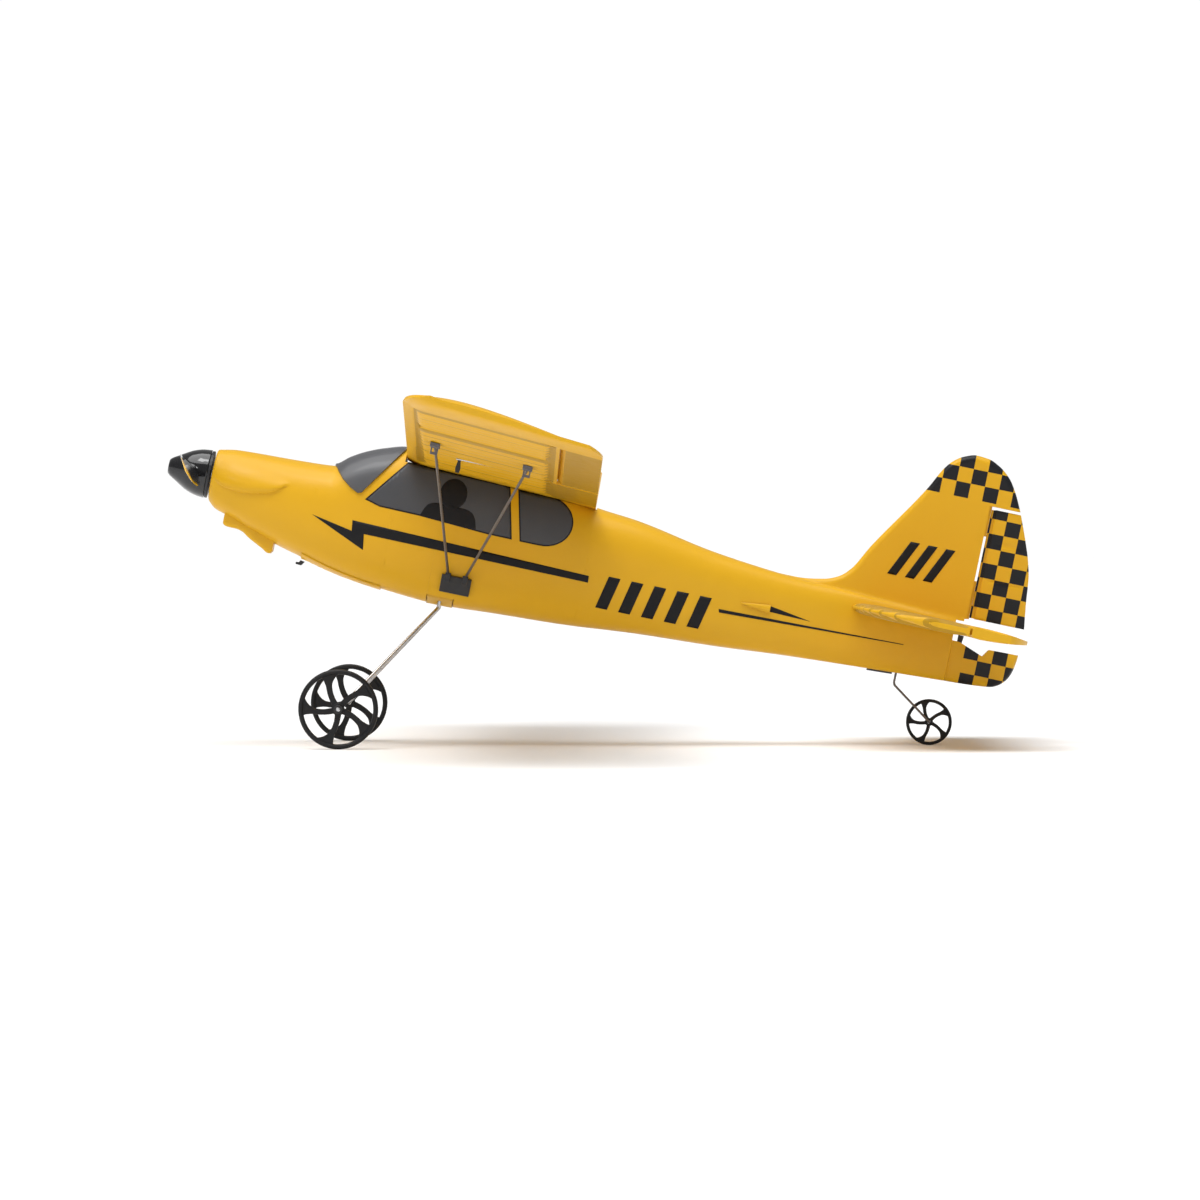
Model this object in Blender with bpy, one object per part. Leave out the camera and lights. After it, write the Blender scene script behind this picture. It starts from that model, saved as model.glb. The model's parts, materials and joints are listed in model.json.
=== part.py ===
"""Micro foam high-wing aeroplane with a tail-wheel undercarriage, built as separate pieces.

Shapes are worked out in the aeroplane's own frame, in millimetres: x runs aft from the front face of
the cowl, y to the right wing, z up, with the thrust line at z = 0. An empty carries that frame and
tilts it so that all three wheels stand on the ground, nose up. World units are metres, the nose points
to -X and the ground is z = 0.
"""

import math

import bmesh
import bpy
from mathutils import Vector

for old_object in list(bpy.data.objects):
    bpy.data.objects.remove(old_object, do_unlink=True)

# ---------------------------------------------------------------- driving dimensions, millimetres
MM = 0.001
GAP = 0.3
SPAN = 616.0
FOAM_WALL = 3.0

MAIN_AXLE_X = 83.0
MAIN_AXLE_Z = -94.3
MAIN_TRACK = 120.0
MAIN_WHEEL_RADIUS = 18.6
TAIL_AXLE_X = 356.1
TAIL_AXLE_Z = -44.9
TAIL_WHEEL_RADIUS = 10.9
MAIN_WHEEL_PHASE = math.radians(62.6)
TAIL_WHEEL_PHASE = math.radians(58.6)
CENTRE_TO_COWL = 182.36

# fuselage side view and plan, each as (x, value) points that a smooth curve runs through
TOP_LINE = [(0, 12.4), (10, 14.1), (40, 15.2), (55.7, 16.2), (62, 20.8), (68.7, 24.7), (77.2, 28.2),
            (88, 31.0), (120, 31.5), (160, 29.0), (181, 22.3), (201, 20.2), (239, 13.3), (260, 10.8),
            (277, 9.3), (300, 8.2), (330, 6.6), (360, 5.0)]
BELLY_LINE = [(0, -11.7), (4, -15.2), (9, -16.9), (34, -25.5), (50, -29.6), (69, -33.8), (88, -36.2),
              (117, -38.1), (144, -36.8), (175, -35.4), (212, -32.4), (248, -30.6), (285, -27.9),
              (319, -26.1), (360, -24.2)]
HALF_WIDTH = [(0, 11.8), (10, 15.0), (30, 18.5), (60, 22.0), (90, 24.0), (150, 24.0), (200, 20.0),
              (250, 14.5), (300, 9.0), (340, 5.0), (360, 3.4)]
SQUARENESS = [(0, 2.1), (40, 2.4), (80, 3.0), (160, 3.0), (220, 2.7), (300, 2.4), (360, 2.4)]

# wing: leading and trailing edge of the flat underside, on the centreline and per mm of span
WING_LEADING_X = (88.87, 0.00906)
WING_LEADING_Z = (23.70, 0.07585)
WING_TRAILING_X = (180.80, -0.00377)
WING_TRAILING_Z = (20.33, 0.07094)
WING_THICKNESS = 9.4
WING_TIP_RADIUS = 20.0
WING_TIP_RISE = 3.6
AILERON_FROM = 100.0
AILERON_TO = 285.0
AILERON_HINGE_X = 161.8

# tail
STAB_HALF_SPAN = 105.0
STAB_NOSE_X = 309.0
STAB_Z = 1.2
STAB_HALF_THICKNESS = 2.9
ELEVATOR_HINGE_X = 360.2
ELEVATOR_END_X = 388.0
FIN_HALF_THICKNESS = 2.5
RUDDER_HINGE_X = 365.0
RUDDER_BOTTOM_Z = 7.2
RUDDER_TOP_Z = 59.9
RUDDER_SWING = 25.0

# power train
PROP_RADIUS = 65.0
PROP_X = -9.0
SHAFT_RADIUS = 1.0
GEAR_MODULE = 0.5
SPUR_TEETH = 32
PINION_TEETH = 8
GEAR_X = (6.5, 9.5)


# ---------------------------------------------------------------- curves that the outlines follow
def smooth_value(points, x):
    """Height at x of a smooth curve through the points that never overshoots them."""
    if x <= points[0][0]:
        return points[0][1]
    if x >= points[-1][0]:
        return points[-1][1]
    slopes = [(b[1] - a[1]) / (b[0] - a[0]) for a, b in zip(points, points[1:])]

    def tangent(index):
        if index == 0:
            return slopes[0]
        if index == len(points) - 1:
            return slopes[-1]
        before, after = slopes[index - 1], slopes[index]
        if before * after <= 0:
            return 0.0
        return 2 * before * after / (before + after)

    for index, (start, end) in enumerate(zip(points, points[1:])):
        if x <= end[0]:
            break
    width = end[0] - start[0]
    t = (x - start[0]) / width
    square, cube = t * t, t * t * t
    return ((2 * cube - 3 * square + 1) * start[1] + (cube - 2 * square + t) * width * tangent(index)
            + (3 * square - 2 * cube) * end[1] + (cube - square) * width * tangent(index + 1))


def fuselage_section(x, inset=0.0):
    """Middle height, half height, half width and squareness of the fuselage at x."""
    top = smooth_value(TOP_LINE, x) - inset
    belly = smooth_value(BELLY_LINE, x) + inset
    width = smooth_value(HALF_WIDTH, x) - inset
    return (top + belly) / 2, (top - belly) / 2, width, smooth_value(SQUARENESS, x)


def side_y(x, z, inset=0.0):
    """Half width of the fuselage at a place in its side view."""
    middle, height, width, power = fuselage_section(x, inset)
    reach = min(1.0, abs((z - middle) / height))
    return width * (1 - reach ** power) ** (1 / power)


def belly_z(x, y):
    middle, height, width, power = fuselage_section(x)
    reach = min(1.0, abs(y / width))
    return middle - height * (1 - reach ** power) ** (1 / power)


def wing_leading(y):
    return WING_LEADING_X[0] + WING_LEADING_X[1] * abs(y), WING_LEADING_Z[0] + WING_LEADING_Z[1] * abs(y)


def wing_trailing(y):
    return WING_TRAILING_X[0] + WING_TRAILING_X[1] * abs(y), WING_TRAILING_Z[0] + WING_TRAILING_Z[1] * abs(y)


def wing_under(x, y):
    """Height of the wing's flat underside."""
    lead_x, lead_z = wing_leading(y)
    trail_x, trail_z = wing_trailing(y)
    return lead_z + (x - lead_x) / (trail_x - lead_x) * (trail_z - lead_z)


def airfoil_height(part):
    """Thickness of the aerofoil, from 0 to 1, at a part of the chord behind its nose."""
    return 10 * (0.2969 * math.sqrt(part) - 0.126 * part - 0.3516 * part ** 2
                 + 0.2843 * part ** 3 - 0.0926 * part ** 4)


# ---------------------------------------------------------------- materials
def material(name, colour, roughness, metallic=0.0):
    made = bpy.data.materials.new(name)
    made.use_nodes = True
    shader = made.node_tree.nodes["Principled BSDF"]
    shader.inputs["Base Color"].default_value = (*colour, 1.0)
    shader.inputs["Roughness"].default_value = roughness
    shader.inputs["Metallic"].default_value = metallic
    return made


FOAM = material("yellow_foam", (0.85, 0.42, 0.01), 0.45)
YELLOW_PLASTIC = material("yellow_plastic", (0.80, 0.40, 0.015), 0.4)
DARK_FILM = material("dark_windshield", (0.05, 0.05, 0.055), 0.25)
BLACK_PLASTIC = material("black_plastic", (0.015, 0.015, 0.016), 0.35)
GLOSS_BLACK = material("gloss_black", (0.01, 0.01, 0.01), 0.08)
GREY_PLASTIC = material("grey_plastic", (0.12, 0.12, 0.13), 0.5)
STEEL = material("steel_wire", (0.55, 0.53, 0.50), 0.3, 1.0)
STRUT_GREY = material("strut_grey", (0.2, 0.17, 0.14), 0.4)
WHITE_NYLON = material("white_nylon", (0.8, 0.8, 0.78), 0.4)
BOARD_GREEN = material("circuit_board", (0.02, 0.14, 0.06), 0.4)
CELL_SILVER = material("battery_foil", (0.45, 0.46, 0.48), 0.35)

# ---------------------------------------------------------------- frame and mesh helpers
GROUND_ANGLE = (math.atan2(TAIL_AXLE_Z - MAIN_AXLE_Z, TAIL_AXLE_X - MAIN_AXLE_X)
                + math.asin((MAIN_WHEEL_RADIUS - TAIL_WHEEL_RADIUS)
                            / math.hypot(TAIL_AXLE_X - MAIN_AXLE_X, TAIL_AXLE_Z - MAIN_AXLE_Z)))
THRUST_HEIGHT = (MAIN_WHEEL_RADIUS + MAIN_AXLE_X * math.sin(GROUND_ANGLE)
                 - MAIN_AXLE_Z * math.cos(GROUND_ANGLE))

body_frame = bpy.data.objects.new("body_frame", None)
bpy.context.scene.collection.objects.link(body_frame)
body_frame.location = (-CENTRE_TO_COWL * MM, 0, THRUST_HEIGHT * MM)
body_frame.rotation_euler = (0, GROUND_ANGLE, 0)


def add_object(name, shape, finish, pivot=(0, 0, 0), smooth_angle=40.0):
    """Turn a bmesh in body millimetres into an object whose origin is the pivot."""
    twisted = [face for face in shape.faces if len(face.verts) == 4]
    bmesh.ops.triangulate(shape, faces=twisted)
    bmesh.ops.recalc_face_normals(shape, faces=shape.faces)
    for vertex in shape.verts:
        vertex.co = (vertex.co - Vector(pivot)) * MM
    mesh = bpy.data.meshes.new(name)
    shape.to_mesh(mesh)
    shape.free()
    mesh.materials.append(finish)
    mesh.shade_smooth()
    mesh.set_sharp_from_angle(angle=math.radians(smooth_angle))
    made = bpy.data.objects.new(name, mesh)
    bpy.context.scene.collection.objects.link(made)
    made.parent = body_frame
    made.location = Vector(pivot) * MM
    return made


def hide_tool(tool):
    tool.hide_render = True
    tool.display_type = "WIRE"
    return tool


def combine(target, tools, operation="DIFFERENCE"):
    for tool in tools:
        step = target.modifiers.new(tool.name, "BOOLEAN")
        step.operation = operation
        step.solver = "EXACT"
        step.object = tool
    return target


def loft_shape(rings):
    """Skin a row of equal closed rings and cap both ends."""
    shape = bmesh.new()
    rows = [[shape.verts.new(point) for point in ring] for ring in rings]
    count = len(rings[0])
    for row, following in zip(rows, rows[1:]):
        for index in range(count):
            after = (index + 1) % count
            shape.faces.new((row[index], row[after], following[after], following[index]))
    shape.faces.new(rows[0])
    shape.faces.new(rows[-1])
    return shape


def box_shape(low, high):
    (x0, y0, z0), (x1, y1, z1) = low, high
    corners = [(y0, z0), (y1, z0), (y1, z1), (y0, z1)]
    return loft_shape([[(x, y, z) for y, z in corners] for x in (x0, x1)])


def cylinder_shape(start, end, radius, sides=16):
    start, end = Vector(start), Vector(end)
    along = (end - start).normalized()
    across = along.orthogonal().normalized()
    beside = along.cross(across)
    rings = []
    for centre in (start, end):
        turns = [2 * math.pi * (step + 0.3) / sides for step in range(sides)]
        rings.append([centre + (across * math.cos(a) + beside * math.sin(a)) * radius for a in turns])
    return loft_shape(rings)


def wire_shape(points, radius, sides=8):
    """A bent round wire through the points, mitred at each bend."""
    points = [Vector(point) for point in points]
    rings = []
    across = (points[1] - points[0]).orthogonal().normalized()
    for index, point in enumerate(points):
        before = (point - points[max(index - 1, 0)]).normalized()
        after = (points[min(index + 1, len(points) - 1)] - point).normalized()
        along = (before + after).normalized()
        across = (across - along * across.dot(along)).normalized()
        beside = along.cross(across)
        stretch = 1.0 / max(0.5, math.cos(before.angle(after) / 2)) if before.length and after.length else 1.0
        ring = []
        bend = (after - before)
        bend = bend.normalized() if bend.length > 1e-6 else None
        for step in range(sides):
            angle = 2 * math.pi * step / sides
            offset = (across * math.cos(angle) + beside * math.sin(angle)) * radius
            if bend is not None:
                offset += bend * offset.dot(bend) * (stretch - 1.0)
            ring.append(point + offset)
        rings.append(ring)
    return loft_shape(rings)


def turned_shape(profile, segments=32, centre=(0.0, 0.0), closed=False):
    """Revolve (x, radius) points about the body's x direction through centre (y, z)."""
    shape = bmesh.new()
    rows = []
    for x, radius in profile:
        if radius == 0:
            rows.append([shape.verts.new((x, centre[0], centre[1]))])
            continue
        turns = [2 * math.pi * step / segments for step in range(segments)]
        rows.append([shape.verts.new((x, centre[0] + radius * math.cos(a), centre[1] + radius * math.sin(a)))
                     for a in turns])
    pairs = list(zip(rows, rows[1:]))
    if closed:
        pairs.append((rows[-1], rows[0]))
    for row, following in pairs:
        if len(row) == 1 and len(following) == 1:
            continue
        for index in range(segments):
            after = (index + 1) % segments
            corners = [row[index % len(row)], row[after % len(row)],
                       following[after % len(following)], following[index % len(following)]]
            shape.faces.new(list(dict.fromkeys(corners)))
    return shape


def plate_shape(outline, low_y, high_y):
    """Extrude a side-view outline of (x, z) points from low_y to high_y."""
    return loft_shape([[(x, y, z) for x, z in outline] for y in (low_y, high_y)])


def sheet_shape(columns, rows, under, over):
    """A closed plate between two surfaces, each a function of two parameters from 0 to 1."""
    shape = bmesh.new()
    layers = []
    for surface in (under, over):
        layers.append([[shape.verts.new(surface(i / columns, j / rows)) for j in range(rows + 1)]
                       for i in range(columns + 1)])
    for layer in layers:
        for i in range(columns):
            for j in range(rows):
                shape.faces.new((layer[i][j], layer[i + 1][j], layer[i + 1][j + 1], layer[i][j + 1]))
    border = ([(i, 0) for i in range(columns)] + [(columns, j) for j in range(rows)]
              + [(i, rows) for i in range(columns, 0, -1)] + [(0, j) for j in range(rows, 0, -1)])
    for (i, j), (k, m) in zip(border, border[1:] + border[:1]):
        shape.faces.new((layers[0][i][j], layers[0][k][m], layers[1][k][m], layers[1][i][j]))
    return shape


# ---------------------------------------------------------------- fuselage
def fin_outline():
    """Fin with its cap over the rudder, down into the fuselage, as (x, z) points."""
    return [(286, 0), (286, 10.0), (293.4, 11.4), (300, 14.0), (305, 18.6), (312, 31), (332.8, 63.6),
            (338.4, 74.2), (342.4, 78.9), (346.5, 81.6), (352.3, 83.4), (358.3, 82.9), (363.8, 80.6),
            (369.7, 75.9), (373.9, 69.8), (378.2, 61.2), (363.6, 61.2), (363.0, 48), (362.3, 6.4),
            (350, 6.4), (340, 0)]


def lower_tail_outline():
    """Fixed fin area under the elevator, with its rounded heel."""
    return [(330, -8), (358, -8), (363, -9.9), (372.5, -10.2), (377, -5.6), (391.2, -5.4), (391.0, -9.6),
            (388.5, -17), (384.4, -21.3), (380.7, -22.8), (368.2, -23.9), (330, -25.0)]


def section_ring(x, side, inset, steps, past_middle):
    """Closed half section of the fuselage, reaching a little past the middle plane."""
    middle, height, width, power = fuselage_section(x, inset)
    ring = [(x, -side * past_middle, middle + height)]
    for step in range(steps + 1):
        angle = math.pi / 2 - math.pi * step / steps
        across = width * abs(math.cos(angle)) ** (2 / power)
        up = math.copysign(abs(math.sin(angle)) ** (2 / power), angle)
        ring.append((x, side * across, middle + height * up))
    ring.append((x, -side * past_middle, middle - height))
    return ring


def stations(start, end, step):
    count = max(1, round((end - start) / step))
    return [start + (end - start) * index / count for index in range(count + 1)]


OUTER_STATIONS = ([0, 2, 5] + stations(10, 50, 10) + [55.7, 58, 61, 64.5, 68, 72, 76, 80, 84, 90]
                  + stations(100, 170, 17.5) + stations(180.7, 280.3, 16.6) + stations(293.7, 360, 13))
INNER_STATIONS = [3, 12, 30, 50, 62, 75, 90, 120, 155, 178, 200, 240, 280, 320, 345, 362]


def fuselage_half(name, side):
    """One moulded foam half: skin, fin half and lower tail half, hollow inside."""
    half = add_object(name, loft_shape([section_ring(x, side, 0, 12, 1.0) for x in OUTER_STATIONS]), FOAM)
    blanks = []
    for word, outline, past_middle in (("fin", fin_outline(), 1.2), ("tail", lower_tail_outline(), 1.4)):
        edges = sorted((-side * past_middle, side * FIN_HALF_THICKNESS))
        blanks.append(hide_tool(add_object(f"{name}_{word}_blank", plate_shape(outline, *edges), FOAM)))
    combine(half, blanks, "UNION")

    def wall(x):
        return smooth_value([(0, 2.2), (20, 2.2), (40, FOAM_WALL), (300, FOAM_WALL), (362, 1.8)], x)

    hollow = loft_shape([section_ring(x, side, wall(x), 8, 2.0) for x in INNER_STATIONS])
    cutters = [add_object(name + "_hollow", hollow, FOAM)]
    cutters.append(add_object(name + "_shaft_hole", cylinder_shape((-3, 0, 0), (8, 0, 0), 3.4), FOAM))
    saddle_rings = []
    for x in (88.4, 181.4):
        under = [(x, y, wing_under(x, y) - GAP) for y in (-40, 0, 40)]
        saddle_rings.append(under + [(x, 40, 60), (x, -40, 60)])
    cutters.append(add_object(name + "_wing_saddle", loft_shape(saddle_rings), FOAM))
    cutters.append(add_object(name + "_battery_mouth", box_shape((50, -9.5, -45), (87, 9.5, -20)), FOAM))
    cutters.append(add_object(name + "_gear_slot", box_shape((111, -16, -45), (124, 16, -25)), FOAM))
    cutters.append(add_object(name + "_tail_bush_hole", cylinder_shape((336, 0, -30), (336, 0, -10), 2.0), FOAM))
    slot_top, slot_bottom = STAB_Z + STAB_HALF_THICKNESS + GAP, STAB_Z - STAB_HALF_THICKNESS - GAP
    cutters.append(add_object(name + "_stabiliser_slot",
                              box_shape((STAB_NOSE_X - 1, -30, slot_bottom), (365, 30, slot_top)), FOAM))
    cutters.append(add_object(name + "_elevator_notch", box_shape((358.6, -30, -9.7), (372, 30, 6.2)), FOAM))
    if side > 0:
        cutters.append(add_object(name + "_pushrod_slot", box_shape((258, 4, 2.8), (281, 20, 8.9)), FOAM))
    parting = sorted((-side * 60.0, side * GAP / 2))
    cutters.append(add_object(name + "_parting_plane", box_shape((-50, parting[0], -90), (430, parting[1], 120)), FOAM))
    combine(half, [hide_tool(cutter) for cutter in cutters])
    return half


def windshield():
    """Dark moulded windshield wrapped over the cabin front, from its lower corners up to the wing."""
    front = [(55.9, 16.1), (57.1, 15.4), (59.3, 12.9), (61.4, 10.7), (65.8, 7.5), (69.8, 5.6)]
    rear_top, rear_low = (88.0, 30.6), (71.4, 6.2)

    def crown_angle(x, z):
        middle, height, _, power = fuselage_section(x)
        reach = max(0.0, min(1.0, (z - middle) / height))
        return math.asin(reach ** (power / 2))

    def place(lift):
        def surface(u, v):
            across = 2 * v - 1
            part = abs(across)
            slot = min(len(front) - 2, int(part * (len(front) - 1)))
            t = part * (len(front) - 1) - slot
            front_x = front[slot][0] + (front[slot + 1][0] - front[slot][0]) * t
            front_z = front[slot][1] + (front[slot + 1][1] - front[slot][1]) * t
            rear_x = rear_top[0] + (rear_low[0] - rear_top[0]) * part
            rear_z = rear_top[1] + (rear_low[1] - rear_top[1]) * part
            front_angle = math.pi / 2 if part == 0 else crown_angle(front_x, front_z)
            rear_angle = math.pi / 2 if part == 0 else crown_angle(rear_x, rear_z)
            x = front_x + (rear_x - front_x) * u
            angle = front_angle + (rear_angle - front_angle) * u
            middle, height, width, power = fuselage_section(x, -lift)
            z = middle + height * math.sin(angle) ** (2 / power)
            y = width * math.cos(angle) ** (2 / power) if part else 0.0
            return x, math.copysign(y, across), z
        return surface

    return add_object("windshield", sheet_shape(8, 30, place(0.65), place(1.25)), DARK_FILM)


def chin_scoop():
    """Moulded intake hung under the cowl, narrow front step and deeper rear step."""
    depth_line = [(9.4, -21.6), (12.1, -22.5), (16.1, -22.6), (19.3, -23.4), (22.1, -25.2), (30.2, -29.3),
                  (33.0, -30.9), (35.0, -29.6)]
    rings = []
    for x, bottom in depth_line:
        width = 5.6 + 1.4 * smooth_value([(9, 0), (18, 0), (26, 1), (36, 1)], x)
        upper = [(x, y, belly_z(x, y) - GAP) for y in (-width, -width / 2, 0, width / 2, width)]
        lower = [(x, width, bottom + 1.6), (x, width - 1.6, bottom), (x, 1.6 - width, bottom),
                 (x, -width, bottom + 1.6)]
        rings.append(upper + lower)
    return add_object("chin_scoop", loft_shape(rings), FOAM)


# ---------------------------------------------------------------- battery hatch
def battery_hatch():
    """Thin curved belly hatch with its finger latch, hinged along its rear edge."""
    start_x, end_x, half_width = 49.0, 88.5, 12.0
    pivot = (end_x, 0, belly_z(end_x, 0) - GAP)

    def layer(depth):
        def surface(u, v):
            x, y = start_x + (end_x - start_x) * u, half_width * (2 * v - 1)
            return x, y, belly_z(x, y) - depth
        return surface

    add_object("battery_hatch", sheet_shape(6, 8, layer(GAP + 0.8), layer(GAP)), FOAM, pivot)
    outline = [(50.9, -31.3), (48.7, -31.0), (48.4, -32.0), (46.9, -32.1), (46.9, -33.1), (49.6, -33.3)]
    add_object("hatch_latch", plate_shape(outline, -3.0, 3.0), BLACK_PLASTIC, pivot)


# ---------------------------------------------------------------- wing and ailerons
def wing_ring(y, steps=12, from_part=0.0, grow=0.0):
    """Closed aerofoil section at span station y, shrunk towards the rounded tip."""
    reach = abs(y)
    over = max(0.0, (reach - (SPAN / 2 - WING_TIP_RADIUS)) / WING_TIP_RADIUS)
    shrink = math.sqrt(max(0.0, 1 - over ** 2))
    lead_x, lead_z = wing_leading(y)
    trail_x, _ = wing_trailing(y)
    lead_x += 12.0 * (1 - shrink)
    trail_x -= 7.0 * (1 - shrink)
    thickness = WING_THICKNESS * (1 - 0.16 * reach / (SPAN / 2)) * (0.25 + 0.75 * shrink) + grow
    lift = WING_TIP_RISE * (1 - shrink)
    upper, lower = [], []
    for step in range(steps + 1):
        part = (1 - math.cos(math.pi * step / steps)) / 2
        part = from_part + (1 - from_part) * part
        x = lead_x + (trail_x - lead_x) * part
        base = wing_under(x, y) + lift * (1 - 0.5 * part)
        edge = 1.3 * smooth_value([(0, 0), (0.1, 1), (1, 1)], part)
        nose = 2.2 * max(0.0, 1 - part / 0.12) ** 2 if from_part == 0 else 0.0
        upper.append((x, y, base + nose + max(edge, thickness * airfoil_height(part))))
        lower.append((x, y, base + nose))
    if from_part == 0:
        return upper[1:] + lower[:0:-1] + [((upper[0][0] + lower[0][0]) / 2, y, lower[0][2])]
    return upper + lower[::-1]


def wing_panel_stations():
    tips = [(SPAN / 2 - WING_TIP_RADIUS * (1 - math.sin(math.radians(a)))) for a in (0, 30, 50, 68, 83)]
    half = [0, 25, 60, 100, 150, 200, 250] + tips
    return [-y for y in reversed(half[1:])] + half


def wing():
    """One-piece foam wing with pockets for ailerons, servos and their pushrods."""
    panel = add_object("wing", loft_shape([wing_ring(y) for y in wing_panel_stations()]), FOAM)
    tools = []
    for side in (-1, 1):
        word = "left" if side < 0 else "right"
        ends = sorted((side * (AILERON_FROM - 0.4), side * (AILERON_TO + 0.4)))
        tools.append(add_object(word + "_aileron_pocket",
                                box_shape((AILERON_HINGE_X - 0.3, ends[0], 0), (200, ends[1], 80)), FOAM))
        y = side * SERVO_Y
        floor = wing_under(110, SERVO_Y)
        tools.append(add_object(word + "_servo_pocket",
                                box_shape((98, y - 6.5, floor - 5), (122, y + 6.5, floor + 5.4)), FOAM))
        tools.append(add_object(word + "_pushrod_groove",
                                box_shape((120, y + side * 1.5 - 1.3, floor - 5),
                                          (AILERON_HINGE_X + 1, y + side * 1.5 + 1.3, floor + 0.6)), FOAM))
    screw_z = wing_under(172, 0)
    tools.append(add_object("wing_screw_hole",
                            cylinder_shape((172, 0, screw_z - 6), (172, 0, screw_z + 12), 1.7), FOAM))
    combine(panel, [hide_tool(tool) for tool in tools])
    add_object("wing_screw", turned_screw(screw_z), WHITE_NYLON)


def turned_screw(base_z):
    """Nylon screw through the wing's trailing edge into the fuselage, head on top."""
    profile = [(base_z + 4.6, 0), (base_z + 4.6, 2.8), (base_z + 3.4, 3.0), (base_z + 3.4, 1.3),
               (base_z - 5, 1.3), (base_z - 6, 0.9), (base_z - 6, 0)]
    shape = turned_shape(profile, 16)
    for vertex in shape.verts:
        along, y, z = vertex.co
        vertex.co = (172 + z, y, along)
    return shape


def aileron(word, side):
    """Foam aileron hinged at the top skin, its front face sloped to clear the pocket."""
    hinge_z = wing_under(AILERON_HINGE_X, 190) + 3.3
    rings = []
    for y in stations(AILERON_FROM, AILERON_TO, 46.25):
        lead_x, _ = wing_leading(y)
        trail_x, _ = wing_trailing(y)
        ring = []
        for x_top in (162.3, 168, 174, trail_x):
            part = (x_top - lead_x) / (trail_x - lead_x)
            thick = max(1.3, WING_THICKNESS * (1 - 0.16 * y / (SPAN / 2)) * airfoil_height(part))
            ring.append((x_top, side * y, wing_under(x_top, y) + thick))
        for x_low in (trail_x, 174, 168, 163.6):
            ring.append((x_low, side * y, wing_under(x_low, y) + 0.4))
        rings.append(ring)
    pivot = (AILERON_HINGE_X, side * 190, hinge_z)
    return add_object(word + "_aileron", loft_shape(rings), FOAM, pivot)


SERVO_Y = 104.0
ARM_X = 115.5


def aileron_servo(word, side):
    """Small servo in its wing pocket, arm hanging below the wing, pushrod in a groove."""
    y = side * SERVO_Y
    floor = wing_under(110, SERVO_Y)
    add_object(word + "_aileron_servo",
               box_shape((99, min(y - 6, y + 6), floor + 0.4), (112, max(y - 6, y + 6), floor + 5.0)),
               BLACK_PLASTIC)
    pivot = (ARM_X, y, floor + 2.0)
    outline = [(ARM_X - 1.3, floor + 3.4), (ARM_X - 1.3, floor + 1.0), (ARM_X - 0.7, floor - 1.5),
               (ARM_X - 1.2, floor - 4.5), (ARM_X - 0.9, floor - 6.6), (ARM_X + 0.9, floor - 6.6),
               (ARM_X + 1.2, floor - 4.5), (ARM_X + 0.7, floor - 1.5), (ARM_X + 1.3, floor + 1.0),
               (ARM_X + 1.3, floor + 3.4)]
    add_object(word + "_servo_arm", plate_shape(outline, y - 0.6, y + 0.6), BLACK_PLASTIC, pivot)
    rod_y, rod_z = y + side * 1.5, floor - 0.5
    add_object(word + "_aileron_pushrod",
               wire_shape([(ARM_X - 1.5, rod_y, rod_z), (AILERON_HINGE_X - 0.4, rod_y, rod_z)], 0.4, 6), STEEL)


# ---------------------------------------------------------------- wing struts
def strut_set(word, side):
    """Bracket on the fuselage side, two wire struts and their clips under the wing."""
    low_z, high_z = -31.0, -23.0
    low_y, high_y = side_y(123.5, low_z) + 0.75, side_y(123.5, high_z) + 0.75
    slope = (high_y - low_y) / (high_z - low_z)
    outward = Vector((0, 1, -slope)).normalized()

    def bracket_ring(x):
        inner = [Vector((x, low_y, low_z)), Vector((x, high_y, high_z))]
        ring = inner + [inner[1] + outward * 1.4, inner[0] + outward * 1.4]
        return [(p.x, side * p.y, p.z) for p in ring]

    bracket = add_object(word + "_strut_bracket", loft_shape([bracket_ring(x) for x in (116.4, 130.6)]),
                         BLACK_PLASTIC)
    lugs = []
    clips = {"front": (104.8, 155.0), "rear": (147.5, 160.0)}
    feet = {"front": 119.2, "rear": 127.5}
    for place, foot_x in feet.items():
        lug_low = (foot_x - 1.3, min(side * (high_y - 0.4), side * (high_y + 3.2)), high_z - 3.2)
        lug_high = (foot_x + 1.3, max(side * (high_y - 0.4), side * (high_y + 3.2)), high_z + 0.9)
        lugs.append(hide_tool(add_object(f"{word}_{place}_lug", box_shape(lug_low, lug_high), BLACK_PLASTIC)))
        clip_x, clip_y = clips[place]
        foot = Vector((foot_x, side * (high_y + 1.6), high_z + 1.4))
        head = Vector((clip_x, side * (clip_y - 1.0), wing_under(clip_x, clip_y) - GAP - 2.5))
        add_object(f"{word}_{place}_strut", cylinder_shape(foot, head, 0.65, 8), STRUT_GREY)
        rings = []
        for y in (clip_y - 3.5, clip_y + 4.5):
            rings.append([(x, side * y, wing_under(x, y) - drop) for x, drop in
                          ((clip_x - 2.2, GAP), (clip_x + 2.2, GAP), (clip_x + 2.2, GAP + 1.8),
                           (clip_x - 2.2, GAP + 1.8))])
        clip = add_object(f"{word}_{place}_strut_clip", loft_shape(rings), GREY_PLASTIC)
        under = wing_under(clip_x, clip_y - 1)
        ends = sorted((side * (clip_y - 1.8), side * (clip_y - 0.2)))
        bars = []
        for bar, from_x, to_x, top in (("fore", -1.7, -1.05, 1.0), ("aft", 1.05, 1.7, 1.0), ("low", -1.7, 1.7, 4.0)):
            bar_shape = box_shape((clip_x + from_x, ends[0], under - 5.2), (clip_x + to_x, ends[1], under - top))
            bars.append(hide_tool(add_object(f"{word}_{place}_{bar}_bar", bar_shape, GREY_PLASTIC)))
        combine(clip, bars, "UNION")
    combine(bracket, lugs, "UNION")


# ---------------------------------------------------------------- tail surfaces
def stab_front(y):
    over = max(0.0, (abs(y) - 63.0) / 43.0)
    return STAB_NOSE_X + 40.0 * (1 - math.sqrt(1 - over ** 2))


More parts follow.
